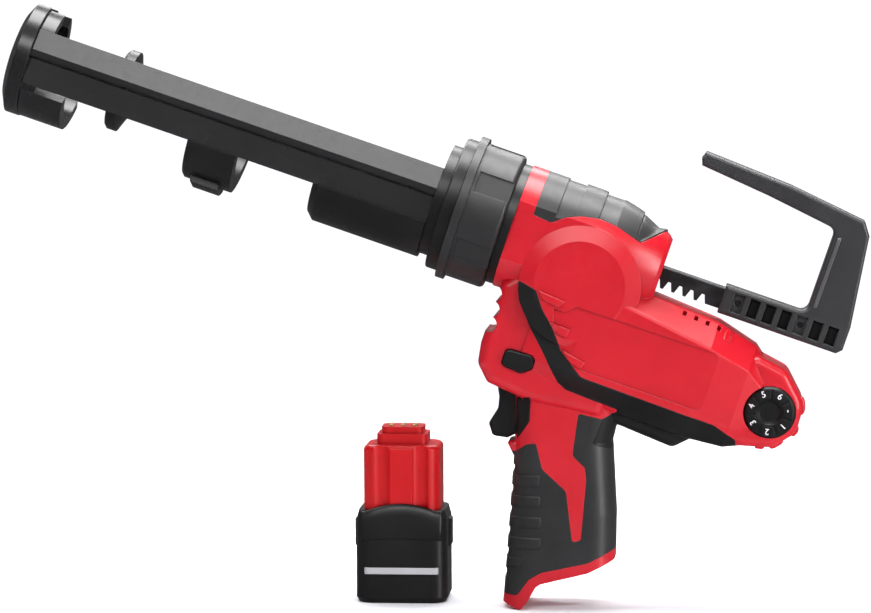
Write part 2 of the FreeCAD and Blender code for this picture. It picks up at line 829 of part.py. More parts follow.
def gear_wire(module, teeth, turn_angle):
    """The outline of a spur gear, one tooth centred at turn_angle, with each flank in two straights."""
    pitch_radius = module * teeth / 2
    pressure_angle = math.radians(size("pressure_angle"))
    base = pitch_radius * math.cos(pressure_angle)
    tip = pitch_radius + module
    root = pitch_radius - size("root_share") * module
    start = max(base, root)
    half = math.pi / (2 * teeth) - size("gear_backlash") / (4 * pitch_radius)
    involute = math.tan(pressure_angle) - pressure_angle

    def flank(radius):
        """How far a flank lies from its tooth's centre line at a radius, as an angle."""
        pressure = math.acos(min(1, base / radius))
        return half + involute - (math.tan(pressure) - pressure)

    def at(radius, angle):
        return V(radius * math.sin(angle), 0, radius * math.cos(angle))

    points = []
    for tooth in range(int(teeth)):
        middle = turn_angle + 2 * math.pi * tooth / teeth
        points.append(at(root, middle - flank(start)))
        points.extend(at(radius, middle - flank(radius)) for radius in (pitch_radius, tip))
        points.extend(at(radius, middle + flank(radius)) for radius in (tip, pitch_radius))
        points.append(at(root, middle + flank(start)))
    return Part.makePolygon(points + points[:1])


def gear(module, teeth, near, width, bore, turn_angle=0.0):
    """A spur gear whose axis is Y, from near to near + width."""
    wheel = Part.Face(gear_wire(module, teeth, turn_angle)).extrude(V(0, width, 0))
    wheel.translate(V(0, near, 0))
    return wheel.cut(Part.makeCylinder(bore, 3 * width, V(0, near - width, 0), V(0, 1, 0)))


def drive_place():
    """Where the small drive pinion stands, as (station, height)."""
    spread = size("drive_module") * (size("drive_gear_teeth") + size("drive_pinion_teeth")) / 2
    angle = math.radians(size("drive_pinion_angle"))
    return size("pinion_station") + spread * math.cos(angle), PINION_DROP + spread * math.sin(angle)


def drive_train():
    """The shaft with its rack pinion, drive gear and bearings."""
    middle = on_barrel(size("pinion_station"), PINION_DROP)
    seat = size("boss_half") - CAVITY
    bore = size("shaft_radius")
    half = seat - size("running_gap")
    feature("pinion_shaft", Part.makeCylinder(bore, 2 * half, V(0, -half, 0), V(0, 1, 0)), middle)
    width = size("pinion_width")
    pinion = gear(size("gear_module"), size("pinion_teeth"), -width / 2, width, bore)
    feature("rack_pinion", pinion, middle)
    near = size("drive_gear_near")
    wheel = gear(size("drive_module"), size("drive_gear_teeth"), near, size("drive_gear_width"), bore)
    feature("drive_gear", wheel, middle)
    bearings = []
    for side in (-1, 1):
        start = V(0, side * seat, 0)
        inward = V(0, -side, 0)
        ring_body = Part.makeCylinder(size("bearing_radius"), size("bearing_width"), start, inward)
        hole = Part.makeCylinder(bore + size("fit_gap") / 2, size("bearing_width"), start, inward)
        bearings.append(ring_body.cut(hole))
    feature("shaft_bearings", Part.makeCompound(bearings), middle)


def drive_pinion():
    """The small pinion on the gearbox's output shaft, in mesh with the drive gear."""
    place = on_barrel(*drive_place())
    teeth = size("drive_pinion_teeth")
    toward = math.pi / 2 - math.radians(size("drive_pinion_angle"))
    gear_phase = (toward * size("drive_gear_teeth") / (2 * math.pi)) % 1
    phase = toward + math.pi + (gear_phase + 0.5) * 2 * math.pi / teeth
    near = size("drive_gear_near")
    width = size("drive_gear_width")
    bore = size("drive_shaft_radius")
    feature("drive_pinion", gear(size("drive_module"), teeth, near, width, bore, phase), place)
    start = size("drive_head_far") - size("drive_shaft_seat")
    shaft = Part.makeCylinder(bore, near + width - start, V(0, start, 0), V(0, 1, 0))
    feature("drive_pinion_shaft", shaft, place)


def gearbox_case():
    """The sealed gearbox with its right-angle head."""
    station, height = drive_place()
    front = size("gearbox_front")
    near = size("drive_head_near")
    reach = size("drive_head_far") - near
    radius = size("drive_head_radius")
    length = size("gearbox_back") - front
    case = Part.makeCylinder(size("gearbox_radius"), length, V(front, 0, size("motor_axis")), V(1, 0, 0))
    head = Part.makeCylinder(radius, reach, V(station, near, height), V(0, 1, 0))
    neck_length = front + size("fit_gap") - station
    neck = Part.makeBox(neck_length, reach, 2 * radius, V(station, near, height - radius))
    seat = size("drive_shaft_seat") + size("running_gap")
    hole = size("drive_shaft_radius") + size("fit_gap") / 2
    bore = Part.makeCylinder(hole, 2 * seat, V(station, size("drive_head_far") - seat, height), V(0, 1, 0))
    feature("gearbox_case", case.fuse([head, neck]).cut(bore).removeSplitter(), BARREL)


def motor():
    body = new_body("motor")
    profile = [
        ("size.gearbox_back", "0"),
        ("size.gearbox_back", "size.motor_radius - size.motor_edge"),
        ("size.gearbox_back + size.motor_edge", "size.motor_radius"),
        ("size.motor_back - size.motor_edge", "size.motor_radius"),
        ("size.motor_back", "size.motor_radius - size.motor_edge"),
        ("size.motor_back", "size.motor_boss_radius"),
        ("size.motor_back + size.motor_boss_length", "size.motor_boss_radius"),
        ("size.motor_back + size.motor_boss_length", "0"),
    ]
    turn(body, outline(body, "motor_profile", "XZ_Plane", profile), "motor_turn")
    keep(body, "motor", on_barrel(0, size("motor_axis")))


# Housing: one outer form, drawn in for the bed of the rubber and again for the hollow.
# The drawn-in forms are plain: their corners are two straights in place of an arc.
# Outlines seen from the side are lists of corners, as (along, up, corner radius).


def rounded_wire(corners, lift, plain=False):
    """A closed outline through corners given as (u, v, radius)."""
    bends = []
    count = len(corners)
    for index, (u, v, radius) in enumerate(corners):
        here = V(u, v, 0)
        last = corners[index - 1]
        following = corners[(index + 1) % count]
        to_last = V(last[0], last[1], 0).sub(here).normalize()
        to_next = V(following[0], following[1], 0).sub(here).normalize()
        opening = to_last.getAngle(to_next)
        reach = radius / math.tan(opening / 2)
        inside = radius / math.sin(opening / 2) - radius
        middle = to_last.add(to_next).normalize()
        bend = (here.add(to_last * reach), here.add(middle * inside), here.add(to_next * reach))
        bends.append([lift(point.x, point.y) for point in bend])
    if plain:
        points = [point for bend in bends for point in bend]
        return Part.makePolygon(points + points[:1])
    edges = []
    for index, (first, middle, last) in enumerate(bends):
        edges.append(Part.LineSegment(bends[index - 1][2], first).toShape())
        edges.append(Part.Arc(first, middle, last).toShape())
    return Part.Wire(edges)


def slab(corners, half, inset=0.0):
    """A side outline given a width of half to each side."""
    wire = rounded_wire(corners, lambda u, v: V(u, inset - half, v), inset > 0)
    face = Part.Face(wire)
    if inset:
        face = face.makeOffset2D(-inset, 2)
    return face.extrude(V(0, 2 * (half - inset), 0))


def cushion(corners, half, edge, inset=0.0):
    """A side outline given a width, with its rims rounded, or narrower and square where it is drawn in."""
    if inset:
        return slab(corners, half - edge / 4, inset)
    solid = slab(corners, half)
    rim = [item for item in solid.Edges if abs(abs(item.CenterOfMass.y) - half) < 0.001]
    return solid.makeFillet(edge, rim)


def in_barrel(shape):
    shape.Placement = BARREL
    return shape


def front_barrel(inset):
    """The round front of the housing about the barrel, flattened at its sides, with a lip at its rear."""
    start = size("socket_back") + inset
    back = size("body_back") - inset
    top = size("front_radius") - inset
    flat_end = V(size("top_flat_back"), 0, top)
    middle = V(size("top_mid_station"), 0, size("top_mid_radius") - inset)
    end = V(back, 0, size("top_back_radius") - inset)
    front = [V(back, 0, 0), V(start, 0, 0), V(start, 0, top), flat_end]
    if inset:
        profile = Part.makePolygon([end] + front + [middle, end])
    else:
        lip = size("rear_lip")
        rear = [end, V(back + lip, 0, end.z - lip), V(back, 0, end.z - 4 * lip)]
        crown = Part.Arc(flat_end, middle, end).toShape()
        profile = Part.Wire(Part.makePolygon(rear + front).Edges + [crown])
    solid = Part.Face(profile).revolve(ORIGIN, V(1, 0, 0), 360)
    half = size("body_half") - inset
    reach = 4 * size("front_radius")
    flat = Part.makeBox(reach, 2 * half, reach, V(0, -half, -reach / 2))
    return in_barrel(solid.common(flat))


def gear_boss(inset):
    """The round boss about the drive shaft, with a wide sloped rim on both sides."""
    half = size("boss_half") - inset
    shoulder = size("body_half") - inset
    points = [
        V(0, -half, 0),
        V(size("boss_face_radius"), -half, 0),
        V(size("boss_radius") - inset, -shoulder, 0),
        V(size("boss_radius") - inset, shoulder, 0),
        V(size("boss_face_radius"), half, 0),
        V(0, half, 0),
    ]
    solid = Part.Face(Part.makePolygon(points + points[:1])).revolve(ORIGIN, V(0, 1, 0), 360)
    solid.Placement = on_barrel(size("pinion_station"), PINION_DROP + size("boss_lift"))
    return solid


# Station, top, top half width, shoulder, half width, hip, bottom, bottom half width.
MOTOR_SECTIONS = [
    (64.0, -6.0, 16.0, -14.0, 26.0, -66.0, -80.0, 20.0),
    (96.0, -8.5, 17.0, -17.0, 34.0, -66.0, -80.0, 20.0),
    (163.0, -12.6, 16.0, -26.4, 34.0, -66.0, -80.0, 20.0),
    (187.0, -18.6, 12.0, -31.5, 29.5, -65.0, -78.0, 19.0),
    (197.0, -26.5, 8.0, -38.0, 24.0, -62.0, -74.0, 16.0),
]


def motor_bay(inset):
    """The long motor housing under the rack: a loft with a sloped shoulder along each side."""
    wires = []
    for section in MOTOR_SECTIONS:
        station, top, top_half, shoulder, half, hip, bottom, bottom_half = section
        if section is MOTOR_SECTIONS[0]:
            station += inset
        if section is MOTOR_SECTIONS[-1]:
            station -= inset
        right = [
            (top_half - inset / 2, top - inset, size("bay_top_round") - inset / 2),
            (half - inset, shoulder - inset / 2, size("bay_shoulder_round") - inset / 2),
            (half - inset, hip + inset / 2, size("bay_hip_round") - inset / 2),
            (bottom_half - inset / 2, bottom + inset, size("bay_foot_round") - inset / 2),
        ]
        left = [(-across, up, radius) for across, up, radius in reversed(right)]
        wires.append(rounded_wire(right + left, lambda u, v, place=station: V(place, u, v), inset > 0))
    return in_barrel(Part.makeLoft(wires, True, True))


TRIGGER_BAY = [
    (52.0, -18.0, 3.0),
    (40.5, -30.0, 3.0),
    (40.5, -66.5, 7.0),
    (42.5, -78.0, 7.0),
    (51.0, -86.5, 4.0),
    (76.0, -89.0, 3.0),
    (118.0, -84.0, 3.0),
    (118.0, -18.0, 3.0),
]
SCALLOPS = ((38.6, -38.0), (40.2, -46.5), (41.4, -55.0))


def trigger_bay(inset):
    """The nose over the trigger, with three finger scallops down its front."""
    half = size("trigger_bay_half")
    solid = cushion(TRIGGER_BAY, half, size("trigger_bay_round"), inset)
    if not inset:
        for station, drop in SCALLOPS:
            start = V(station, -2 * half, drop)
            solid = solid.cut(Part.makeCylinder(size("scallop_radius"), 4 * half, start, V(0, 1, 0)))
    return in_barrel(solid)


DIAL_POD = [
    (186.0, -22.0, 4.0),
    (207.5, -25.5, 9.0),
    (222.5, -40.0, 12.0),
    (223.5, -57.0, 10.0),
    (213.5, -69.0, 7.0),
    (196.0, -74.0, 4.0),
    (186.0, -72.0, 4.0),
]
BELLY = [
    (96.0, -66.0, 3.0),
    (96.0, -84.0, 4.0),
    (128.0, -86.0, 12.0),
    (161.0, -88.0, 5.0),
    (170.0, -79.0, 5.0),
    (170.0, -66.0, 3.0),
]
GUARD_LIP = [
    (-20.0, 68.8, 0.5),
    (-27.5, 69.8, 1.5),
    (-31.4, 78.0, 1.2),
    (-20.0, 79.8, 0.5),
]
# Height, front, back.
GRIP_SECTIONS = [
    (-26.0, -34.8, 28.8),
    (37.0, -30.0, 30.2),
    (78.0, -27.0, 28.2),
    (104.0, -26.6, 35.0),
]


def grip_loft(inset):
    """The upright grip, a little wider at its foot, lofted through rounded oblongs."""
    foot = GRIP_SECTIONS[0][0]
    top = GRIP_SECTIONS[-1][0]
    corner = size("grip_corner") - inset
    wires = []
    for height, front, back in GRIP_SECTIONS:
        share = (height - foot) / (top - foot)
        half = size("grip_half_foot") + share * (size("grip_half_top") - size("grip_half_foot")) - inset
        corners = [
            (front + inset, -half, corner),
            (back - inset, -half, corner),
            (back - inset, half, corner),
            (front + inset, half, corner),
        ]
        wires.append(rounded_wire(corners, lambda u, v, place=height: V(u, v, place), inset > 0))
    return Part.makeLoft(wires, True, True)


def body_form(inset):
    """The whole housing as one solid, drawn in by inset."""
    pieces = [
        gear_boss(inset),
        motor_bay(inset),
        trigger_bay(inset),
        in_barrel(cushion(DIAL_POD, size("pod_half"), size("pod_round"), inset)),
        in_barrel(cushion(BELLY, size("belly_half"), size("belly_round"), inset)),
        grip_loft(inset),
    ]
    if not inset:
        pieces.append(cushion(GUARD_LIP, size("lip_half"), size("lip_round")))
    return front_barrel(inset).fuse(pieces)


# Outlines of the sunk side panel, the rubber, the grip's foot, the trigger and the lock bar.
SIDE_PANEL = [
    (73.1, -33.2, 1.0),
    (80.2, -33.6, 1.5),
    (85.1, -28.4, 1.5),
    (167.0, -27.8, 3.0),
    (173.0, -43.0, 6.0),
    (168.0, -61.5, 5.0),
    (99.0, -61.5, 4.0),
    (86.0, -54.0, 4.0),
    (76.5, -43.5, 3.0),
]
TOP_PAD = [
    (45.5, 50.0, 1.0),
    (45.5, 11.8, 1.0),
    (56.3, 10.8, 3.0),
    (63.0, 16.2, 6.0),
    (71.0, 19.6, 10.0),
    (81.0, 21.4, 12.0),
    (92.0, 20.4, 12.0),
    (106.8, 15.9, 2.0),
    (119.3, 26.5, 1.0),
    (119.3, 50.0, 1.0),
]
SIDE_BAND = [
    (49.3, -25.2, 1.0),
    (53.0, -36.5, 4.0),
    (63.7, -48.6, 4.0),
    (76.0, -60.1, 4.0),
    (88.5, -73.0, 4.0),
    (94.0, -75.5, 2.0),
    (126.2, -76.8, 1.0),
    (118.9, -84.8, 2.0),
    (118.0, -100.0, 1.0),
    (190.0, -100.0, 2.0),
    (197.0, -80.0, 2.0),
    (192.5, -71.2, 3.0),
    (178.0, -66.2, 8.0),
    (100.0, -65.0, 6.0),
    (84.7, -55.0, 5.0),
    (75.5, -43.4, 5.0),
    (67.9, -36.6, 5.0),
    (60.5, -27.1, 1.0),
]
GRIP_SIDE = [
    (-50.0, 72.0, 1.0),
    (-26.3, 72.8, 2.0),
    (-19.8, 77.4, 3.0),
    (-14.2, 78.3, 1.5),
    (-10.8, 63.6, 5.0),
    (2.6, 51.2, 4.0),
    (6.0, 22.4, 1.5),
    (10.8, 23.6, 1.5),
    (13.9, 57.4, 3.0),
    (13.2, 64.4, 3.0),
    (6.1, 71.3, 3.0),
    (9.6, 95.2, 1.5),
    (23.0, 91.8, 2.0),
    (50.0, 92.0, 1.0),
    (50.0, 25.5, 1.0),
    (29.2, 17.5, 4.0),
    (14.4, 10.4, 6.0),
    (-11.6, 4.9, 3.0),
    (-18.5, 0.9, 3.0),
    (-25.2, -8.2, 3.0),
    (-50.0, -7.2, 1.0),
]
FOOT_CUT = [
    (50.0, 21.5, 1.0),
    (28.4, 11.2, 4.0),
    (14.5, 4.7, 6.0),
    (-11.9, -1.6, 3.0),
    (-14.6, -3.4, 1.0),
    (-20.4, -13.1, 2.0),
    (-23.6, -16.4, 1.5),
    (-32.4, -13.2, 2.0),
    (-50.0, -7.6, 1.0),
    (-50.0, -50.0, 1.0),
    (50.0, -50.0, 1.0),
]
TRIGGER = [
    (-37.6, 115.0, 3.0),
    (-35.8, 103.0, 7.0),
    (-36.4, 96.5, 6.0),
    (-41.8, 88.0, 3.0),
    (-39.8, 80.8, 3.0),
    (-31.3, 79.4, 3.0),
    (-20.0, 85.0, 3.0),
    (-18.0, 106.0, 3.0),
]
LOCK = [
    (-8.7, 4.6, 2.5),
    (8.7, 6.0, 3.5),
    (8.7, -1.5, 2.5),
    (3.5, -6.0, 3.5),
    (-8.7, -5.0, 2.5),
]
# Screw posts, as station and height along the barrel and as place and height in the grip.
BARREL_POSTS = ((52.0, -60.0), (124.5, -17.5), (194.0, -62.0))
GRIP_POSTS = ((0.0, 62.0),)
# A reach past every side of the housing.
FAR = 60.0


def half_space(side):
    """Everything on one side of the middle plane."""
    reach = 20 * FAR
    return Part.makeBox(reach, reach, reach, V(-reach / 2, 0 if side > 0 else -reach, -reach / 2))


def layer(low, high):
    """Everything between two heights."""
    reach = 4 * FAR
    return Part.makeBox(reach, reach, high - low, V(-reach / 2, -reach / 2, low))


def grown(corners, gap, half):
    """A side outline let out by a gap and given a width."""
    wire = rounded_wire(corners, lambda u, v: V(u, -half, v))
    return Part.Face(wire).makeOffset2D(gap).extrude(V(0, 2 * half, 0))


def across_rod(radius, place, near=-FAR, far=FAR):
    """A round rod that runs across the tool."""
    return Part.makeCylinder(radius, far - near, V(place.x, near, place.z), V(0, 1, 0))


def along_rod(station, length, radius, height=0.0):
    """A round rod that runs along the barrel."""
    return in_barrel(Part.makeCylinder(radius, length, V(station, 0, height), V(1, 0, 0)))


def post_places():
    """The places of the housing's screw posts, in the part's frame."""
    places = [BARREL.multVec(V(station, 0, height)) for station, height in BARREL_POSTS]
    return places + [V(along, 0, up) for along, up in GRIP_POSTS]


def dial_place():
    return BARREL.multVec(V(size("dial_station"), 0, size("dial_drop")))


def dial_control_front():
    """Where the speed control starts, behind the dial."""
    return size("dial_near") + size("dial_thickness") + size("dial_control_gap")


def hollow_form():
    """The room inside the shells, at least a wall inside the outer form all round."""
    axis = size("motor_axis")
    radius = size("motor_room_radius")
    front = size("pinion_station")
    length = size("motor_room_back") - front
    depth = axis - size("motor_room_foot")
    motor_room = Part.makeBox(length, 2 * radius, depth, V(front, -radius, axis - depth))
    start = V(size("trigger_room_front"), -size("trigger_room_half"), size("trigger_room_foot"))
    trigger_length = front - size("trigger_room_front")
    trigger_room = Part.makeBox(trigger_length, 2 * size("trigger_room_half"), PINION_DROP - start.z, start)
    station, height = drive_place()
    reach = size("drive_head_radius") + size("inner_room")
    near = size("drive_head_near") - size("inner_room")
    far = size("drive_gear_near") + size("drive_gear_width") + size("inner_room")
    head_length = size("gearbox_front") + 2 * reach - station
    head_room = Part.makeBox(head_length, far - near, 2 * reach, V(station - reach, near, height - reach))
    pieces = [
        in_barrel(head_room),
        gear_boss(CAVITY),
        along_rod(front, length, radius, axis),
        in_barrel(motor_room),
        in_barrel(trigger_room),
        grip_loft(CAVITY),
    ]
    return front_barrel(CAVITY).fuse(pieces)


def inner_ribs(hollow):
    """Walls inside the housing that carry the gearbox, motor, bearings and switch."""
    thickness = size("rib_thickness")
    axis = size("motor_axis")
    room = size("fit_gap")
    low = size("motor_room_foot")
    high = axis + size("motor_room_radius")
    ribs = []
    carried = (("gearbox_rib", "gearbox"), ("motor_rib_front", "motor"), ("motor_rib_back", "motor"))
    for place, bore in carried:
        wall = in_barrel(Part.makeBox(thickness, 2 * FAR, high - low, V(size(place), -FAR, low)))
        hole = along_rod(size(place), thickness, size(bore + "_radius") + room, axis)
        ribs.append(hollow.common(wall).cut(hole))
    shaft = BARREL.multVec(V(size("pinion_station"), 0, PINION_DROP))
    seat = size("boss_half") - CAVITY
    for side in (-1, 1):
        near, far = sorted((side * (seat - size("bearing_width")), side * (seat + size("shell_wall") / 2)))
        tube = across_rod(size("bearing_radius") + size("bearing_seat_wall"), shaft, near, far)
        near, far = sorted((0, side * seat))
        ribs.append(tube.cut(across_rod(size("bearing_radius") + room / 2, shaft, near, far)))
    foot = size("switch_foot")
    window = size("wire_window") / 2
    start = V(-window / 2, -window, foot - 1.5 * thickness)
    opening = Part.makeBox(window, 2 * window, 2 * thickness, start)
    shelf = grip_loft(CAVITY - size("shell_wall") / 2).common(layer(foot - thickness, foot))
    ribs.append(shelf.cut(opening))
    return ribs


def vents():
    """Cooling slots along both shoulders of the motor housing."""
    front = MOTOR_SECTIONS[1]
    back = MOTOR_SECTIONS[2]
    fall = (back[1] - front[1]) / (back[0] - front[0])
    width = size("vent_width")
    length = size("vent_length")
    depth = size("vent_depth")
    cuts = []
    for count in range(int(size("vents"))):
        station = size("vent_first") + size("vent_pitch") * count
        height = front[1] + fall * (station - front[0]) - length / 2
        for side in (-1, 1):
            vent = Part.makeBox(width, length, depth, V(-width / 2, -length / 2, -depth / 2))
            lean = FreeCAD.Rotation(V(1, 0, 0), -side * size("vent_lean"))
            place = FreeCAD.Placement(V(station, side * size("vent_across"), height), lean)
            vent.Placement = BARREL.multiply(place)
            cuts.append(vent)
    return cuts


def openings():
    """Everything that is cut through the housing's walls."""
    room = size("inner_room")
    lock_slot = grown(LOCK, size("running_gap"), FAR)
    lock_slot.Placement = on_barrel(size("lock_station"), size("lock_drop"))
    dial_back = size("dial_near") + size("dial_thickness") + size("running_gap")
    control_back = dial_control_front() + size("dial_control_length")
    bush = size("guide_radius")
    cuts = [
        lock_slot,
        across_rod(size("dial_radius") + size("running_gap"), dial_place(), -FAR, dial_back),
        across_rod(size("dial_control_radius") + size("running_gap"), dial_place(), -FAR, control_back),
        along_rod(size("socket_back"), 2 * CAVITY, bush),
        along_rod(size("body_back") - size("guide_length"), 2 * size("guide_length"), bush),
        slab(FOOT_CUT, FAR),
        in_barrel(slab(SIDE_PANEL, FAR).cut(slab(SIDE_PANEL, size("panel_half")))),
    ]
    steps = int(size("trigger_slot_steps"))
    for count in range(steps + 1):
        trigger_slot = grown(TRIGGER, room, size("trigger_half") + room)
        trigger_slot.translate(V(size("trigger_travel") * count / steps, 0, 0))
        cuts.append(trigger_slot)
    for place in post_places():
        cuts.append(across_rod(size("screw_recess_radius"), place, size("screw_recess_floor"), FAR))
    return cuts + vents()


def biggest(shape):
    """The one large solid of a shape, without the crumbs that cuts leave."""
    return max(shape.Solids, key=lambda solid: solid.Volume)


def finger_grooves():
    """Level grooves down the front of the grip."""
    foot = GRIP_SECTIONS[0]
    top = GRIP_SECTIONS[1]
    lean = (top[1] - foot[1]) / (top[0] - foot[0])
    cuts = []
    for count in range(int(size("finger_ribs")) + 1):
        height = size("finger_rib_first") + size("finger_rib_pitch") * (count - 0.5)
        front = foot[1] + lean * (height - foot[0]) + size("finger_groove_depth")
        start = V(front - FAR, -FAR, height)
        cuts.append(Part.makeBox(FAR, 2 * FAR, size("finger_groove"), start))
    return cuts


def pad_steps():
    """Shallow bands across the top pad."""
    length = size("pad_step_length")
    cuts = []
    for count in range(int(size("pad_steps"))):
        station = size("pad_step_first") + size("pad_step_pitch") * count
        middle = station + length / 2
        drop = max(0, middle - size("top_flat_back")) / (size("body_back") - size("top_flat_back"))
        level = size("front_radius") - (size("front_radius") - size("top_back_radius")) * drop ** 2
        band = Part.makeCylinder(FAR, length, V(station, 0, 0), V(1, 0, 0))
        core = Part.makeCylinder(level - size("pad_step_depth"), length, V(station, 0, 0), V(1, 0, 0))
        cuts.append(in_barrel(band.cut(core)))
    return cuts


def housing():
    """The two shells and the rubber moulded on them."""
    outer = body_form(0.0)
    hollow = hollow_form()
    rind = outer.cut(body_form(SKIN))
    pad_zone = in_barrel(slab(TOP_PAD, FAR))
    band_zone = in_barrel(slab(SIDE_BAND, FAR))
    grip_zone = slab(GRIP_SIDE, FAR).cut(band_zone)
    pad_rubber = rind.common(pad_zone)
    band_rubber = rind.common(band_zone)
    grip_rubber = rind.common(grip_zone)
    cuts = openings()
    posts = [outer.common(across_rod(size("screw_post_radius"), place)).cut(rind) for place in post_places()]
    shell = outer.cut([pad_rubber, band_rubber, grip_rubber, hollow])
    shell = shell.fuse(inner_ribs(hollow) + posts).cut(cuts)
    for name, side in (("left", -1), ("right", 1)):
        half = half_space(side)
        feature("housing_" + name, biggest(shell.common(half)))
        feature("band_" + name, biggest(band_rubber.cut(cuts).common(half)))
        feature("grip_" + name, biggest(grip_rubber.cut(cuts + finger_grooves()).common(half)))
    feature("top_pad", biggest(pad_rubber.cut(cuts + pad_steps())))


def rack_guides():
    """Bushes at both ends of the housing that the rack slides through."""
    half = size("rack_width") / 2 + size("fit_gap")
    low = size("rack_line") - size("gear_module") - size("fit_gap")
    high = size("rack_top") + size("fit_gap")
    length = size("guide_length")
    back = size("body_back") - length
    for label, station in (("front_guide", size("collar_back")), ("rear_guide", back)):
        bush = Part.makeCylinder(size("guide_radius"), length, V(station, 0, 0), V(1, 0, 0))
        slot = Part.makeBox(length, 2 * half, high - low, V(station, -half, low))
        feature(label, bush.cut(slot), BARREL)


# Controls.


def trigger():
    feature("trigger", cushion(TRIGGER, size("trigger_half"), size("trigger_round")))


def lock_button():
    """The lock bar runs right through the housing and shows at both sides."""
    left = size("trigger_bay_half") + size("lock_proud")
    length = 2 * left - size("lock_travel")
    bar = Part.Face(rounded_wire(LOCK, lambda u, v: V(u, -left, v))).extrude(V(0, length, 0))
    middle = length / 2 - left
    rims = [edge for edge in bar.Edges if abs(abs(edge.CenterOfMass.y - middle) - length / 2) < 0.001]
    place = on_barrel(size("lock_station"), size("lock_drop"))
    feature("lock_button", bar.makeFillet(size("lock_round"), rims), place)


def speed_dial():
    body = new_body("speed_dial")
    face = "size.dial_near"
    floor = "size.dial_near + size.dial_dish"
    back = "size.dial_near + size.dial_thickness"
    hub_end = back + " + size.dial_hub_length"
    profile = [
        (floor, "0"),
        (floor, "size.dial_dish_radius - size.dial_dish"),
        (face, "size.dial_dish_radius"),
        (face, "size.dial_radius - size.dial_edge"),
        (face + " + size.dial_edge", "size.dial_radius"),
        (back, "size.dial_radius"),
        (back, "size.dial_hub_radius"),
        (hub_end, "size.dial_hub_radius"),
        (hub_end, "0"),
    ]
    turn(body, outline(body, "dial_profile", "XZ_Plane", profile), "dial_turn")
    across = FreeCAD.Rotation(V(0, 0, 1), 90)
    keep(body, "speed_dial", on_barrel(size("dial_station"), size("dial_drop"), across))


def dial_control():
    """A round speed control behind the dial, on the post that the right shell gives it."""
    start = V(0, dial_control_front(), 0)
    can = Part.makeCylinder(size("dial_control_radius"), size("dial_control_length"), start, V(0, 1, 0))
    radius = size("dial_hub_radius") + size("fit_gap") / 2
    hole = Part.makeCylinder(radius, size("dial_hub_length"), start, V(0, 1, 0))
    feature("dial_control", can.cut(hole), on_barrel(size("dial_station"), size("dial_drop")))


# Electrics inside the grip.


def trigger_switch():
    front = size("switch_front")
    foot = size("switch_foot")
    half = size("switch_half")
    length = size("switch_back") - front
    case = Part.makeBox(length, 2 * half, size("switch_top") - foot, V(front, -half, foot))
    upright = [edge for edge in case.Edges if runs_along(V(0, 0, 1), 1)(edge)]
    feature("trigger_switch", case.makeFillet(size("switch_round"), upright))


def terminal_block():
    """The block that the battery's plug meets at the top of the bay."""
    low = size("terminal_foot")
    width = size("plug_width") + 2 * size("plug_room")
    depth = size("plug_depth") + 2 * size("plug_room")
    recess = Part.makeBox(width, depth, size("terminal_recess"), V(-width / 2, -depth / 2, low))
    block = grip_loft(CAVITY + size("fit_gap")).common(layer(low, low + size("terminal_height")))
    feature("terminal_block", block.cut(recess))


def control_board():
    """A board on edge between the terminal block and the switch's shelf, with two tall parts on it."""
    low = size("terminal_foot") + size("terminal_height")
    front = size("board_front")
    half = size("board_half")
    part = size("board_part")
    height = size("switch_foot") - size("rib_thickness") - low
    board = Part.makeBox(size("board_thickness"), 2 * half, height, V(front, -half, low))
    block = Part.makeBox(part / 2, part, part, V(front - part / 2, -part, low + part))
    can = Part.makeCylinder(part / 2, part, V(front - part, part, low + part), V(1, 0, 0))
    feature("control_board", board.fuse([block, can]))


# Battery pack, standing beside the tool.


def oblong(width, depth, corner, height):
    """A level rounded oblong about the battery's own axis."""
    corners = [
        (-width / 2, -depth / 2, corner),
        (width / 2, -depth / 2, corner),
        (width / 2, depth / 2, corner),
        (-width / 2, depth / 2, corner),
    ]
    return rounded_wire(corners, lambda u, v: V(u, v, height))


def block_of(width, depth, corner, low, high):
    """An upright block of a rounded oblong."""
    return Part.Face(oblong(width, depth, corner, low)).extrude(V(0, 0, high - low))


def battery_place():
    middle = V(size("battery_x"), size("battery_y"), size("battery_floor"))
    return FreeCAD.Placement(middle, FreeCAD.Rotation())


def latch_level():
    return size("battery_foot_height") - 2 * size("battery_shoulder") - size("latch_height")


def battery_case():
    """The black foot: a hollow oblong drawn in at its base and shoulder."""
    width = size("battery_foot_width")
    depth = size("battery_foot_depth")
    tall = size("battery_foot_height")
    step = size("battery_shoulder")
    wall = size("battery_wall")
    corner = size("battery_corner")
    gap = size("running_gap")
    levels = ((0.0, step), (step, 0.0), (tall - 2 * step, 0.0), (tall, step))
    wires = [oblong(width - inset, depth - inset, corner, level) for level, inset in levels]
    case = Part.makeLoft(wires, True, True)
    throat_width = size("tower_width") - 2 * wall
    throat_depth = size("tower_depth") - 2 * wall
    cuts = [
        block_of(width - 2 * wall, depth - 2 * wall, corner - wall, wall, tall - step - wall),
        block_of(throat_width, throat_depth, corner - wall, wall, 2 * tall),
    ]
    across = size("latch_width") + 2 * gap
    for side in (-1, 1):
        start = V(side * width / 2 - 2 * wall, -across / 2, latch_level() - gap)
        cuts.append(Part.makeBox(4 * wall, across, size("latch_height") + 2 * gap, start))
    feature("battery_case", case.cut(cuts), battery_place())


def cell_places():
    """Where the three cells stand about the pack's axis: one to the left and two to the right."""
    spread = size("cell_radius") + size("fit_gap") / 2
    rise = spread * math.sqrt(3) / 2
    return ((0.0, -rise), (-spread, rise), (spread, rise))


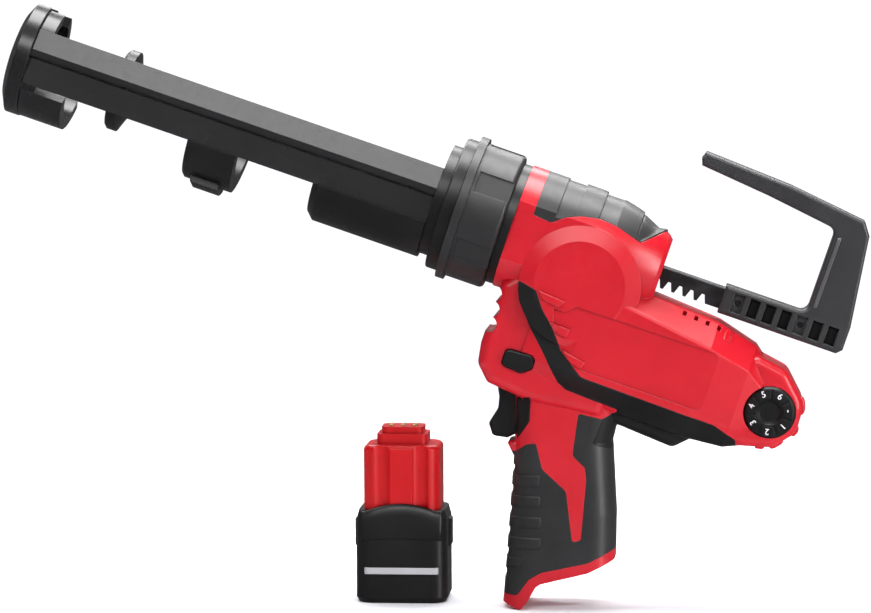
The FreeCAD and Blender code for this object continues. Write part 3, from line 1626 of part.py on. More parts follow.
def battery_tower():
    """The red stem that goes into the bay, fluted between its cells, with a stepped plug on its top."""
    corner = size("battery_corner")
    low = size("battery_foot_height")
    tall = size("tower_height")
    top = low + tall
    stem = block_of(size("tower_width"), size("tower_depth"), corner, low, top)
    rim = [edge for edge in stem.Edges if abs(edge.CenterOfMass.z - top) < 0.001]
    stem = stem.makeFillet(size("tower_round"), rim)
    room = size("cell_radius") + size("running_gap")
    cuts = []
    for along, across in cell_places():
        start = V(along, across, low)
        cuts.append(Part.makeCylinder(room, tall - 2 * size("battery_wall"), start, V(0, 0, 1)))
    radius = size("flute_radius")
    reach = size("tower_depth") / 2 + radius - size("flute_depth")
    for along, across in ((-size("flute_across"), -reach), (size("flute_across"), -reach), (0.0, reach)):
        cuts.append(Part.makeCylinder(radius, tall, V(along, across, low), V(0, 0, 1)))
    step = top + size("plug_base_height")
    base = block_of(size("plug_base_width"), size("plug_base_depth"), size("plug_corner"), top, step)
    end = step + size("plug_height")
    plug = block_of(size("plug_width"), size("plug_depth"), size("plug_corner"), step, end)
    feature("battery_tower", stem.cut(cuts).fuse([base, plug]), battery_place())


def battery_inside():
    """Three cells inside the pack, and the contacts on its plug."""
    radius = size("cell_radius")
    cells = []
    for along, across in cell_places():
        start = V(along, across, size("battery_wall"))
        cells.append(Part.makeCylinder(radius, size("cell_length"), start, V(0, 0, 1)))
    feature("battery_cells", Part.makeCompound(cells), battery_place())
    width = size("contact_width")
    length = size("contact_length")
    tower_top = size("battery_foot_height") + size("tower_height")
    top = tower_top + size("plug_base_height") + size("plug_height")
    contacts = []
    for count in (-1, 0, 1):
        start = V(count * size("contact_pitch") - width / 2, -length / 2, top)
        contacts.append(Part.makeBox(width, length, size("contact_thickness"), start))
    feature("battery_contacts", Part.makeCompound(contacts), battery_place())


def battery_latches():
    """A press tab in each end of the foot."""
    face = size("battery_foot_width") / 2
    outer = face + size("latch_proud")
    inner = face - size("battery_wall") - size("latch_inside")
    across = size("latch_width")
    for label, side in (("latch_front", -1), ("latch_back", 1)):
        near = min(side * inner, side * outer)
        tab = Part.makeBox(outer - inner, across, size("latch_height"), V(near, -across / 2, latch_level()))
        rim = [edge for edge in tab.Edges if abs(edge.CenterOfMass.x - side * outer) < 0.001]
        feature(label, tab.makeFillet(size("latch_round"), rim), battery_place())


def write_parts():
    """Check every object and write each piece to its own file."""
    doc.recompute()
    for item in doc.Objects:
        if "Invalid" in item.State or "Error" in item.State:
            raise RuntimeError("%s failed: %s" % (item.Name, item.State))
    for piece in sub_parts:
        if piece.Shape.isNull() or not piece.Shape.isValid() or not piece.Shape.Solids:
            raise RuntimeError("%s has no valid solid" % piece.Label)
    os.makedirs("parts", exist_ok=True)
    for piece in sub_parts:
        piece.Shape.exportStep("parts/%s.step" % piece.Label)


nose_cap()
rail("rail_left", -1)
rail("rail_right", 1)
mid_saddle()
rear_cradle()
carriage_flange()
locking_collar()
barrel_socket()
plunger_disc()
plunger_screw()
rack()
pull_handle()
handle_pins()
drive_train()
drive_pinion()
gearbox_case()
motor()
housing()
rack_guides()
trigger()
lock_button()
speed_dial()
dial_control()
trigger_switch()
terminal_block()
control_board()
battery_case()
battery_tower()
battery_inside()
battery_latches()
write_parts()
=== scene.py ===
import math

import bmesh
import bpy
from mathutils import Matrix, Vector
from mathutils.bvhtree import BVHTree


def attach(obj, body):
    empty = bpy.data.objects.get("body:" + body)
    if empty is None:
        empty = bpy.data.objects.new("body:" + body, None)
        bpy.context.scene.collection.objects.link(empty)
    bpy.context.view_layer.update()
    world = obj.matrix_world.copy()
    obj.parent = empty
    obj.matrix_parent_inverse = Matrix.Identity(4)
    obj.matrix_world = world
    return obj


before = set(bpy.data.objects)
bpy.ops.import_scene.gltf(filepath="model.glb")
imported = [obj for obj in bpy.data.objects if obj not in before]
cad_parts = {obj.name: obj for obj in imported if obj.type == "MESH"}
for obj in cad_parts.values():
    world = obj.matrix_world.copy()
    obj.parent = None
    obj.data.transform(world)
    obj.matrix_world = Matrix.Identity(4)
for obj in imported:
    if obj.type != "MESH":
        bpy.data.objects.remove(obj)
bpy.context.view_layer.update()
MM = 0.001
TURN = 2.0 * math.pi
SIDES = (("left", -1.0), ("right", 1.0))

# Each finish is a small node tree in the object's own metres, so the grain stays on a piece when it moves.
# Noise scales are in cells to the metre.

CLOUD_SCALE = 28.0
MOTTLE_SCALE = 240.0
SCUFF_SCALE = 150.0
SCUFF_POLISH = -0.15
# The seam values set the painted shade that darkens the colour in seams and pockets.
SEAM_REACH = 1.6 * MM
SEAM_SPAN = (0.2, 0.7)
SEAM_SHADE = 0.2
CORNER_SPAN = (0.86, 0.995)
PIT_HEIGHT = 0.2 * MM
METAL_CLOUD_SCALE = 45.0
METAL_SCUFF_SCALE = 180.0
TOOL_LINE_SCALE = 900.0
TOOL_LINE_STRENGTH = 0.12
TOOL_LINE_HEIGHT = 0.08 * MM


class Finish:
    """A material under construction. Each call adds a node and gives back its output."""

    def __init__(self, name):
        self.material = bpy.data.materials.new(name)
        self.material.use_nodes = True
        self.tree = self.material.node_tree
        self.tree.nodes.clear()
        self.place = self.add("ShaderNodeTexCoord").outputs["Object"]

    def add(self, kind, inputs=None, **settings):
        node = self.tree.nodes.new(kind)
        for key, value in settings.items():
            setattr(node, key, value)
        for key, value in (inputs or {}).items():
            if isinstance(value, bpy.types.NodeSocket):
                self.tree.links.new(value, node.inputs[key])
            else:
                node.inputs[key].default_value = value
        return node

    def noise(self, scale, detail=3.0, roughness=0.55, stretch=None):
        place = self.place
        if stretch:
            place = self.add("ShaderNodeMapping", {"Vector": place, "Scale": stretch}).outputs["Vector"]
        inputs = {"Vector": place, "Scale": scale, "Detail": detail, "Roughness": roughness}
        return self.add("ShaderNodeTexNoise", inputs).outputs["Fac"]

    def span(self, value, low, high, first, last):
        inputs = {"Value": value, "From Min": low, "From Max": high, "To Min": first, "To Max": last}
        return self.add("ShaderNodeMapRange", inputs).outputs["Result"]

    def times(self, first, second):
        return self.add("ShaderNodeMath", {0: first, 1: second}, operation="MULTIPLY").outputs[0]

    def plus(self, first, second):
        return self.add("ShaderNodeMath", {0: first, 1: second}, operation="ADD").outputs[0]

    def blend(self, factor, first, second):
        node = self.add("ShaderNodeMix", {0: factor, 6: first, 7: second}, data_type="RGBA")
        return node.outputs[2]

    def edges(self, radius):
        """Where the surface turns sharply: 1 on a corner, 0 on a flat, with the softened normal."""
        soft = self.add("ShaderNodeBevel", {"Radius": radius}, samples=4).outputs["Normal"]
        plain = self.add("ShaderNodeNewGeometry").outputs["Normal"]
        inputs = {0: soft, 1: plain}
        turn = self.add("ShaderNodeVectorMath", inputs, operation="DOT_PRODUCT").outputs["Value"]
        return self.span(turn, *CORNER_SPAN, 1.0, 0.0), soft

    def painted_seam_shade(self, reach, least):
        """Painted shade in seams and pockets: 1 in the open, least deep in a corner."""
        node = self.add("ShaderNodeAmbientOcclusion", {"Distance": reach}, samples=6)
        return self.span(node.outputs["AO"], *SEAM_SPAN, least, 1.0)

    def bump(self, height, strength, distance, normal):
        inputs = {"Height": height, "Strength": strength, "Distance": distance, "Normal": normal}
        return self.add("ShaderNodeBump", inputs).outputs["Normal"]

    def close(self, **sockets):
        inputs = {key.replace("_", " "): value for key, value in sockets.items()}
        shader = self.add("ShaderNodeBsdfPrincipled", inputs).outputs["BSDF"]
        self.add("ShaderNodeOutputMaterial", {"Surface": shader})
        return self.material


def colour(red, green, blue):
    return (red, green, blue, 1.0)


def grey(level):
    return colour(level, level, 1.05 * level)


def moulded(
    name,
    base,
    tint,
    worn,
    rough,
    grain=1800.0,
    depth=0.1,
    edge=0.5,
    wear=0.35,
    shine=0.5,
    least=0.25,
    spread=0.04,
):
    """Moulded plastic or rubber: clouded colour, spark-eroded grain, edges rubbed paler, painted shade
    darkening the seams.
    """
    f = Finish(name)
    cloud = f.noise(CLOUD_SCALE, 4.0)
    mottle = f.noise(MOTTLE_SCALE, 3.0)
    mixed = f.blend(f.span(cloud, 0.35, 0.7, 0.0, 1.0), base, tint)
    corner, soft = f.edges(edge * MM)
    patchy = f.times(corner, f.span(f.noise(SCUFF_SCALE, 5.0, 0.7), 0.42, 0.66, 0.1, wear))
    # Painted shade: the colour is blended toward a darker copy of itself where the surface sits in a seam or
    # pocket.
    shade = [share * SEAM_SHADE for share in base[:3]] + [1.0]
    shaded = f.blend(f.painted_seam_shade(SEAM_REACH, least), shade, mixed)
    painted = f.blend(patchy, shaded, worn)
    gloss = f.plus(f.span(mottle, 0.3, 0.7, rough - spread, rough + spread), f.times(patchy, SCUFF_POLISH))
    pits = f.noise(grain, 2.0, 0.6)
    return f.close(
        Base_Color=painted,
        Roughness=gloss,
        Specular_IOR_Level=shine,
        Normal=f.bump(pits, depth, PIT_HEIGHT, soft),
    )


def turned(name, base, tint, worn, rough, stretch, edge=0.25):
    """Machined or drawn metal: fine tool lines along one direction, brighter edges."""
    f = Finish(name)
    lines = f.noise(TOOL_LINE_SCALE, 3.0, 0.6, stretch)
    cloud = f.noise(METAL_CLOUD_SCALE, 4.0)
    mixed = f.blend(f.span(cloud, 0.35, 0.7, 0.0, 1.0), base, tint)
    corner, soft = f.edges(edge * MM)
    rubbed = f.times(corner, f.span(f.noise(METAL_SCUFF_SCALE, 4.0), 0.4, 0.65, 0.15, 0.8))
    painted = f.blend(rubbed, mixed, worn)
    return f.close(
        Base_Color=painted,
        Metallic=1.0,
        Roughness=f.span(lines, 0.3, 0.7, rough - 0.07, rough + 0.09),
        Normal=f.bump(lines, TOOL_LINE_STRENGTH, TOOL_LINE_HEIGHT, soft),
    )


RED = moulded(
    "red_shell",
    colour(0.44, 0.003, 0.011),
    colour(0.49, 0.005, 0.015),
    colour(0.72, 0.06, 0.08),
    0.32,
)
RUBBER = moulded("black_rubber", grey(0.016), grey(0.024), grey(0.07), 0.42, 1500.0, 0.16)
BLACK = moulded("black_plastic", grey(0.006), grey(0.010), grey(0.05), 0.36, 2000.0, 0.1, shine=0.4)
CARRIAGE = moulded("carriage_black", grey(0.009), grey(0.014), grey(0.09), 0.26, 900.0, 0.02, spread=0.015)
BAND = moulded("band_rubber", grey(0.008), grey(0.013), grey(0.06), 0.4, 1500.0, 0.16, 0.8, 0.6, shine=0.3)
# Near-black for the plates on the handle's pocket floors: painted shade.
POCKET_SHADE = moulded("pocket_black", grey(0.002), grey(0.004), grey(0.01), 0.6, 1500.0, 0.1, shine=0.15)
# Paler grey for the rib on the handle's upright: a painted sheen.
SHEEN_GREY = moulded("sheen_painted_black", grey(0.06), grey(0.085), grey(0.2), 0.32, 1600.0, 0.05, 0.6, 0.7)
# The handle's least of 0.05 paints deeper shade into its seams and pockets.
HANDLE = moulded(
    "handle_black",
    grey(0.024),
    grey(0.032),
    grey(0.12),
    0.34,
    1600.0,
    0.05,
    0.6,
    0.7,
    least=0.05,
)
PACK_RED = moulded(
    "pack_red",
    colour(0.43, 0.001, 0.003),
    colour(0.48, 0.002, 0.005),
    colour(0.7, 0.04, 0.05),
    0.36,
    shine=0.3,
)
STEEL = turned("steel", grey(0.50), grey(0.57), grey(0.6), 0.3, (1.0, 1.0, 0.1))
DARK_STEEL = turned("dark_steel", grey(0.05), grey(0.08), grey(0.2), 0.34, (1.0, 0.2, 1.0))
RACK = turned("rack_steel", grey(0.060), grey(0.10), grey(0.26), 0.36, (0.1, 1.0, 0.3))
BRASS = turned(
    "brass",
    colour(0.62, 0.42, 0.14),
    colour(0.70, 0.50, 0.20),
    colour(0.76, 0.58, 0.28),
    0.28,
    (1.0, 1.0, 0.2),
)
MOTOR = turned("motor_metal", grey(0.30), grey(0.37), grey(0.5), 0.4, (0.2, 1.0, 1.0))
BOARD = moulded(
    "board_green",
    colour(0.01, 0.09, 0.03),
    colour(0.015, 0.12, 0.04),
    colour(0.3, 0.25, 0.1),
    0.4,
    1200.0,
    0.06,
)
WRAP = moulded(
    "cell_wrap",
    colour(0.02, 0.10, 0.22),
    colour(0.03, 0.12, 0.26),
    colour(0.2, 0.3, 0.4),
    0.35,
    600.0,
    0.05,
)
INK = moulded("pale_ink", grey(0.72), grey(0.80), grey(0.6), 0.5, 2600.0, 0.05)
FOIL = moulded("grey_foil", grey(0.36), grey(0.44), grey(0.5), 0.38, 2600.0, 0.05)
FINISHES = {
    "red_shell": RED,
    "black_rubber": RUBBER,
    "black_plastic": BLACK,
    "carriage_black": CARRIAGE,
    "steel": STEEL,
    "rack_steel": RACK,
    "brass": BRASS,
    "motor_metal": MOTOR,
    "board_green": BOARD,
    "cell_wrap": WRAP,
}
OWN_FINISHES = {
    "battery_tower": PACK_RED,
    "handle_pins": DARK_STEEL,
    "pull_handle": HANDLE,
    "band_left": BAND,
    "band_right": BAND,
}
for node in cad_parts.values():
    for holder in node.material_slots:
        holder.material = FINISHES[holder.material.name.split(".")[0]]
for name, finish in OWN_FINISHES.items():
    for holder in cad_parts[name].material_slots:
        holder.material = finish

# Small pieces on the solids. The barrel's own frame runs rearward along it and square up from it.
# Lengths are in millimetres here, and each piece is a closed shell sunk a little into what carries it.

BARREL = Matrix.Translation((-61.6, 0.0, 211.0)) @ Matrix.Rotation(math.radians(19.1), 4, "Y")
REARWARD = Vector((1.0, 0.0, 0.0))
RIGHTWARD = Vector((0.0, 1.0, 0.0))
SAME_SPOT = 0.001 * MM
OUTSIDE = 90.0
CLEAR_OF_BODY = 60.0
NEAR = 0.07


def on_barrel(along, up, across=0.0):
    return (BARREL @ Vector((along, across, up))) * MM


def upright(along, up, across=0.0):
    return Vector((along, across, up)) * MM


def join_points(mesh):
    """Join the points that coincide, drop the faces that this leaves with no area, and face the rest out."""
    work = bmesh.new()
    work.from_mesh(mesh)
    bmesh.ops.remove_doubles(work, verts=work.verts, dist=SAME_SPOT)
    bmesh.ops.dissolve_degenerate(work, edges=work.edges, dist=SAME_SPOT)
    bmesh.ops.recalc_face_normals(work, faces=work.faces)
    work.to_mesh(mesh)
    work.free()


def ring_faces(levels, count, start=0):
    """The faces between rings of points, one ring to a level, from the point numbered start."""
    faces = []
    for level in range(levels - 1):
        low = start + level * count
        high = low + count
        for step in range(count):
            following = (step + 1) % count
            faces.append((low + step, low + following, high + following, high + step))
    return faces


def closed_grid(points, sunk, rows, columns):
    """The faces of a sheet of points and of its underside, which meet round the border."""
    under = []
    for index in range(rows * columns):
        row, column = divmod(index, columns)
        if row in (0, rows - 1) or column in (0, columns - 1):
            under.append(index)
        else:
            under.append(len(points))
            points.append(sunk[index])
    faces = []
    for row in range(rows - 1):
        for column in range(columns - 1):
            corner = row * columns + column
            ring = (corner, corner + 1, corner + columns + 1, corner + columns)
            faces.append(ring)
            faces.append(tuple(under[spot] for spot in reversed(ring)))
    return faces


def finish_piece(name, points, faces, body, finish, edge=0.0, smooth=False):
    """A mesh piece that rides on a body, with its edges softened by edge millimetres."""
    mesh = bpy.data.meshes.new(name)
    mesh.from_pydata(points, [], faces)
    join_points(mesh)
    mesh.update()
    mesh.materials.append(finish)
    piece = bpy.data.objects.new(name, mesh)
    bpy.context.scene.collection.objects.link(piece)
    if edge:
        bevel = piece.modifiers.new("edge", "BEVEL")
        bevel.width = edge * MM
        bevel.segments = 2
        bevel.limit_method = "ANGLE"
    if smooth:
        mesh.shade_smooth()
    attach(piece, body)


def seen(finder, start, toward):
    """Where a straight line first meets a surface, or the nearest spot on it if the line passes by."""
    return finder.ray_cast(start, toward)[0] or finder.find_nearest(start + toward * NEAR)[0]


def surface(node):
    return BVHTree.FromObject(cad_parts[node], bpy.context.evaluated_depsgraph_get())


# How a relief rises from its rim: the share of the way across, and the share of its full height.

RIM = ((0.0, -0.6), (0.0, 0.45), (0.04, 0.85), (0.12, 1.0))
CROWN = ((0.25, 1.0), (0.5, 1.0), (0.75, 1.0))
RELIEF = RIM + CROWN + tuple((1.0 - spot, share) for spot, share in reversed(RIM))


def relief(name, corners, lift, node, body, finish, side, proud, round_by):
    """A low cushion on a node's left or right face. It follows the face, and its corners run round it."""
    finder = surface(node)
    toward = -side * RIGHTWARD
    first, second, third, fourth = [Vector(corner) for corner in corners]
    points = []
    sunk = []
    for across, rise in RELIEF:
        for down, fall in RELIEF:
            over = 2.0 * across - 1.0
            under = 2.0 * down - 1.0
            u = 0.5 + 0.5 * over * math.sqrt(1.0 - round_by * under * under / 2.0)
            v = 0.5 + 0.5 * under * math.sqrt(1.0 - round_by * over * over / 2.0)
            flat = first.lerp(second, u).lerp(fourth.lerp(third, u), v)
            hit = seen(finder, lift(flat.x, flat.y, side * OUTSIDE), toward)
            points.append(hit - toward * proud * min(rise, fall) * MM)
            sunk.append(hit - toward * proud * RIM[0][1] * MM)
    faces = closed_grid(points, sunk, len(RELIEF), len(RELIEF))
    finish_piece(name, points, faces, body, finish, smooth=True)


FINS = (
    ((61.6, -26.6), (78.7, -27.8), (76.2, -32.4), (65.2, -31.0)),
    ((72.0, -41.2), (86.2, -41.8), (85.4, -47.0), (76.6, -46.2)),
    ((84.6, -54.0), (100.2, -56.6), (98.6, -61.0), (89.6, -58.6)),
)
GRIP_BARS = (
    ((-27.4, 60.2), (-11.8, 60.2), (-12.6, 53.6), (-28.0, 53.6)),
    ((-28.4, 48.4), (-11.6, 48.4), (-12.0, 41.8), (-28.9, 41.8)),
    ((-29.4, 36.6), (-11.2, 36.6), (-11.6, 30.0), (-29.8, 30.0)),
    ((-30.2, 24.8), (-11.2, 24.8), (-11.8, 18.2), (-30.8, 18.2)),
    ((-31.0, 13.0), (-21.0, 13.0), (-23.0, 7.8), (-31.4, 7.8)),
)
VENT_BLANK = ((167.6, -14.6), (173.4, -14.6), (173.4, -20.4), (167.6, -20.4))
UPRIGHT_RIB = ((209.6, 53.6), (211.8, 54.2), (211.6, 12.6), (209.3, 11.8))
TRIGGER_WELL = ((-25.2, 103.6), (-17.2, 104.6), (-17.8, 90.5), (-25.4, 79.5))

# The pockets of the pull handle that no pin runs through.

POCKETS = (1, 2, 3, 5, 6)
POCKET_START = 166.5
POCKET_PITCH = 9.2
POCKET_WIDTH = 5.3
POCKET_TOP = 5.1
POCKET_FOOT = -4.7


def pocket_corners(count):
    front = POCKET_START + POCKET_PITCH * count
    rear = front + POCKET_WIDTH
    return ((front, POCKET_TOP), (rear, POCKET_TOP), (rear, POCKET_FOOT), (front, POCKET_FOOT))


def fins_and_bars(hand, side):
    """The fins on the housing and the bars across the grip."""
    shell = "housing_" + hand
    grip = "grip_" + hand
    for count, fin in enumerate(FINS):
        name = "fin_%s_%d" % (hand, count + 1)
        relief(name, fin, on_barrel, shell, "tool", RED, side, proud=1.6, round_by=0.12)
    for count, bar in enumerate(GRIP_BARS):
        name = "grip_bar_%s_%d" % (hand, count + 1)
        relief(name, bar, upright, grip, "tool", RUBBER, side, proud=0.8, round_by=0.2)


def vent_blank(hand, side):
    name = "vent_blank_" + hand
    shell = "housing_" + hand
    relief(name, VENT_BLANK, on_barrel, shell, "tool", RED, side, proud=0.4, round_by=0.6)


def pocket_shade_plates(hand, side):
    """Dark plates on the floors of the handle's pockets: painted shade."""
    node = "pull_handle"
    for count in POCKETS:
        name = "pocket_%s_%d" % (hand, count + 1)
        place = pocket_corners(count)
        relief(name, place, on_barrel, node, "plunger", POCKET_SHADE, side, proud=0.2, round_by=0.05)


def handle_rib(hand, side):
    """A low rib along the front of the handle's upright, coloured paler as a painted sheen."""
    name = "handle_rib_" + hand
    node = "pull_handle"
    relief(name, UPRIGHT_RIB, on_barrel, node, "plunger", SHEEN_GREY, side, proud=0.7, round_by=0.03)


def painted_trigger_shade(hand, side):
    """A dark plate beside the trigger, on the side of the housing: painted shade of the trigger well."""
    name = "trigger_shade_plate_" + hand
    shell = "housing_" + hand
    relief(name, TRIGGER_WELL, upright, shell, "tool", BLACK, side, proud=0.5, round_by=0.1)


# The LINING values shape the dark skin of painted shade beside the trigger.
LINING_ROWS = 13
LINING_SHARES = (0.0, 0.2, 0.4, 0.6, 0.8, 1.0)
LINING_FOOT = 80.0
LINING_HEIGHT = 24.0
LINING_INNER = 10.0
LINING_WIDEST = 10.0
LINING_NARROWEST = 1.0
LINING_FLARE = 0.8
LINING_SKIN = 0.3 * MM


def trigger_shade_skin(hand, side):
    """A dark skin beside the trigger, on the front of the housing, narrower toward its foot: painted shade
    of the trigger well.
    """
    finder = surface("housing_" + hand)
    points = []
    sunk = []
    for step in range(LINING_ROWS):
        height = LINING_FOOT + LINING_HEIGHT * step / (LINING_ROWS - 1)
        reach = min(LINING_WIDEST, LINING_NARROWEST + LINING_FLARE * (height - LINING_FOOT))
        for share in LINING_SHARES:
            across = side * (LINING_INNER + reach * share)
            hit = seen(finder, upright(-CLEAR_OF_BODY, height, across), REARWARD)
            rim = step in (0, LINING_ROWS - 1) or share in (0.0, 1.0)
            points.append(hit + REARWARD * (LINING_SKIN if rim else -LINING_SKIN))
            sunk.append(hit + REARWARD * LINING_SKIN)
    faces = closed_grid(points, sunk, LINING_ROWS, len(LINING_SHARES))
    finish_piece("trigger_shade_skin_" + hand, points, faces, "tool", BLACK)


for shape in (fins_and_bars, vent_blank, pocket_shade_plates, handle_rib, painted_trigger_shade, trigger_shade_skin):
    for hand, side in SIDES:
        shape(hand, side)

# The end of the top pad. Its profile gives the share of its length and how far proud it stands there.

TAIL_SWEEP = math.radians(57.0)
TAIL_STEPS = 40
TAIL_START = 103.4
TAIL_END = 119.0
TAIL_SHORTER = 12.0
TAIL_CURVE = 1.4
TAIL_SUNK = -0.6
TAIL_PROFILE = (
    (0.0, TAIL_SUNK),
    (0.0, 1.6),
    (0.1, 1.8),
    (0.3, 1.7),
    (0.5, 1.6),
    (0.7, 1.5),
    (0.9, 1.4),
    (1.0, 0.9),
    (1.0, TAIL_SUNK),
)


def pad_tail():
    """The pad runs down the cone behind it and wraps over both halves of the housing."""
    finders = (surface("housing_left"), surface("housing_right"))
    points = []
    sunk = []
    for row in range(TAIL_STEPS + 1):
        turn = TAIL_SWEEP * (2.0 * row / TAIL_STEPS - 1.0)
        outward = BARREL.to_3x3() @ Vector((0.0, math.sin(turn), math.cos(turn)))
        last = TAIL_END - TAIL_SHORTER * abs(turn / TAIL_SWEEP) ** TAIL_CURVE
        for share, lift in TAIL_PROFILE:
            along = TAIL_START + (last - TAIL_START) * share
            start = (BARREL @ Vector((along, 0.0, 0.0)) + outward * CLEAR_OF_BODY) * MM
            hit = seen(finders[0] if turn < 0.0 else finders[1], start, -outward)
            proud = TAIL_SUNK if row in (0, TAIL_STEPS) else lift
            points.append(hit + outward * proud * MM)
            sunk.append(hit + outward * TAIL_SUNK * MM)
    faces = closed_grid(points, sunk, TAIL_STEPS + 1, len(TAIL_PROFILE))
    finish_piece("pad_tail", points, faces, "tool", RUBBER, smooth=True)


pad_tail()

# The housing's screws, in their recesses on the right. Rings are (radius, wave, height).

SCREW = (
    (2.9, 0.0, 0.0),
    (2.9, 0.0, 0.7),
    (2.5, 0.0, 1.4),
    (1.7, 0.0, 1.8),
    (1.3, 0.18, 1.8),
    (1.3, 0.18, 0.7),
    (0.5, 0.0, 0.4),
)
SCREW_SIDES = 36
SOCKET_LOBES = 6.0
POST_TOP = 12.0
POSTS = (
    on_barrel(52.0, -60.0, POST_TOP),
    on_barrel(124.5, -17.5, POST_TOP),
    on_barrel(194.0, -62.0, POST_TOP),
    upright(0.0, 62.0, POST_TOP),
)


def case_screw(name, middle):
    """A turned screw head with a lobed socket."""
    turn_to = RIGHTWARD.to_track_quat("Z", "Y")
    points = []
    for radius, wave, height in SCREW:
        for step in range(SCREW_SIDES):
            angle = TURN * step / SCREW_SIDES
            reach = radius + wave * math.cos(SOCKET_LOBES * angle)
            spot = Vector((reach * math.cos(angle), reach * math.sin(angle), height)) * MM
            points.append(middle + turn_to @ spot)
    faces = ring_faces(len(SCREW), SCREW_SIDES)
    faces.append(tuple(range((len(SCREW) - 1) * SCREW_SIDES, len(SCREW) * SCREW_SIDES)))
    faces.append(tuple(range(SCREW_SIDES - 1, -1, -1)))
    finish_piece(name, points, faces, "tool", STEEL)


for count, post in enumerate(POSTS):
    case_screw("case_screw_%d" % (count + 1), post)

# The speed dial: seven facets, a milled rim, six numbers and a mark.

DIAL = on_barrel(205.6, -50.3, -22.0)
FACETS = 7
FIRST_FACET = math.radians(314.0)
FACET_STEPS = 8
FACET_GAP = 0.07
FACET_OUTER = 13.1
FACET_OUTER_LIFT = 0.35
FACET_INNER = 8.1
FACET_INNER_LIFT = 0.75
FACET_SUNK = -0.4
MILL_TEETH = 42
MILL_HALF_TURN = 0.045
MILL_INNER = 13.0
MILL_OUTER = 14.2
MILL_SLOPE = 0.4
MILL_LOW = -1.6
MILL_HIGH = -0.35
MARK_SIZE = 4.9 * MM
MARK_WEIGHT = 0.06 * MM
MARK_THICKNESS = 0.06 * MM
MARK_RADIUS = 10.6
MARK_LIFT = 0.66
MARK_TILT = math.atan2(0.4, 5.0)


def on_dial(radius, angle, lift):
    """A point on the dial's face, at a radius and angle and so far proud of it."""
    return DIAL + Vector((radius * math.cos(angle), -lift, radius * math.sin(angle))) * MM


def dial_facets():
    points = []
    faces = []
    half = TURN / FACETS / 2.0 - FACET_GAP
    for facet in range(FACETS):
        middle = FIRST_FACET - TURN * facet / FACETS
        sweep = [half * (2.0 * step / FACET_STEPS - 1.0) for step in range(FACET_STEPS + 1)]
        spots = [(FACET_OUTER, middle + turn, FACET_OUTER_LIFT) for turn in sweep]
        spots += [(FACET_INNER, middle - turn, FACET_INNER_LIFT) for turn in sweep]
        first = len(points)
        count = len(spots)
        points += [on_dial(radius, angle, FACET_SUNK) for radius, angle, lift in spots]
        points += [on_dial(radius, angle, lift) for radius, angle, lift in spots]
        faces += ring_faces(2, count, first)
        for step in range(FACET_STEPS):
            top = first + count + step
            far = first + 2 * count - 1 - step
            faces.append((top, top + 1, far - 1, far))
            faces.append((far - count, far - count - 1, top - count + 1, top - count))
    finish_piece("dial_facets", points, faces, "dial_body", BLACK, edge=0.2)


def dial_milling():
    points = []
    faces = []
    for tooth in range(MILL_TEETH):
        middle = TURN * tooth / MILL_TEETH
        near = middle - MILL_HALF_TURN
        far = middle + MILL_HALF_TURN
        first = len(points)
        for lift, outer in ((MILL_LOW, MILL_OUTER), (MILL_HIGH, MILL_OUTER - MILL_SLOPE)):
            for radius, angle in ((MILL_INNER, near), (outer, near), (outer, far), (MILL_INNER, far)):
                points.append(on_dial(radius, angle, lift))
        faces += ring_faces(2, 4, first)
        faces.append((first + 4, first + 5, first + 6, first + 7))
        faces.append((first + 3, first + 2, first + 1, first))
    finish_piece("dial_milling", points, faces, "dial_body", BLACK, edge=0.12)


def dial_marks():
    for facet in range(FACETS):
        angle = FIRST_FACET - TURN * facet / FACETS
        words = bpy.data.curves.new("mark", "FONT")
        words.body = str(facet + 1) if facet < FACETS - 1 else "-"
        words.size = MARK_SIZE
        words.offset = MARK_WEIGHT
        words.extrude = MARK_THICKNESS
        words.align_x = "CENTER"
        words.align_y = "CENTER"
        holder = bpy.data.objects.new("mark", words)
        bpy.context.scene.collection.objects.link(holder)
        shown = holder.evaluated_get(bpy.context.evaluated_depsgraph_get())
        mesh = bpy.data.meshes.new_from_object(shown)
        bpy.data.objects.remove(holder)
        outward = angle - math.pi / 2.0
        stand = Matrix.Rotation(-outward, 4, "Y") @ Matrix.Rotation(math.pi / 2.0 - MARK_TILT, 4, "X")
        mesh.transform(Matrix.Translation(on_dial(MARK_RADIUS, angle, MARK_LIFT)) @ stand)
        mesh.materials.append(INK)
        piece = bpy.data.objects.new("dial_mark_%d" % (facet + 1), mesh)
        bpy.context.scene.collection.objects.link(piece)
        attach(piece, "dial_body")


dial_facets()
dial_milling()
dial_marks()

# Raised tabs on the pod's rim round the dial. Each runs between two angles, in degrees.
# TAB_LENGTH gives the share of that run and the rise there.
# TAB_WIDTH gives the place across and the share of the full rise.

TABS = ((23.0, -6.0), (-30.0, -48.0), (-66.0, -90.0), (-98.0, -112.0))
TAB_RISE = 1.5
TAB_SUNK = -0.9
TAB_LENGTH = (
    (0.0, -0.6),
    (0.0, 0.6),
    (0.12, 1.3),
    (0.3, TAB_RISE),
    (0.5, TAB_RISE),
    (0.7, TAB_RISE),
    (0.88, 1.3),
    (1.0, 0.6),
    (1.0, -0.6),
)
TAB_WIDTH = (
    (-16.0, -0.6),
    (-16.0, 0.5),
    (-15.0, 1.0),
    (-11.0, 1.0),
    (-7.0, 1.0),
    (-6.0, 0.5),
    (-6.0, -0.6),
)


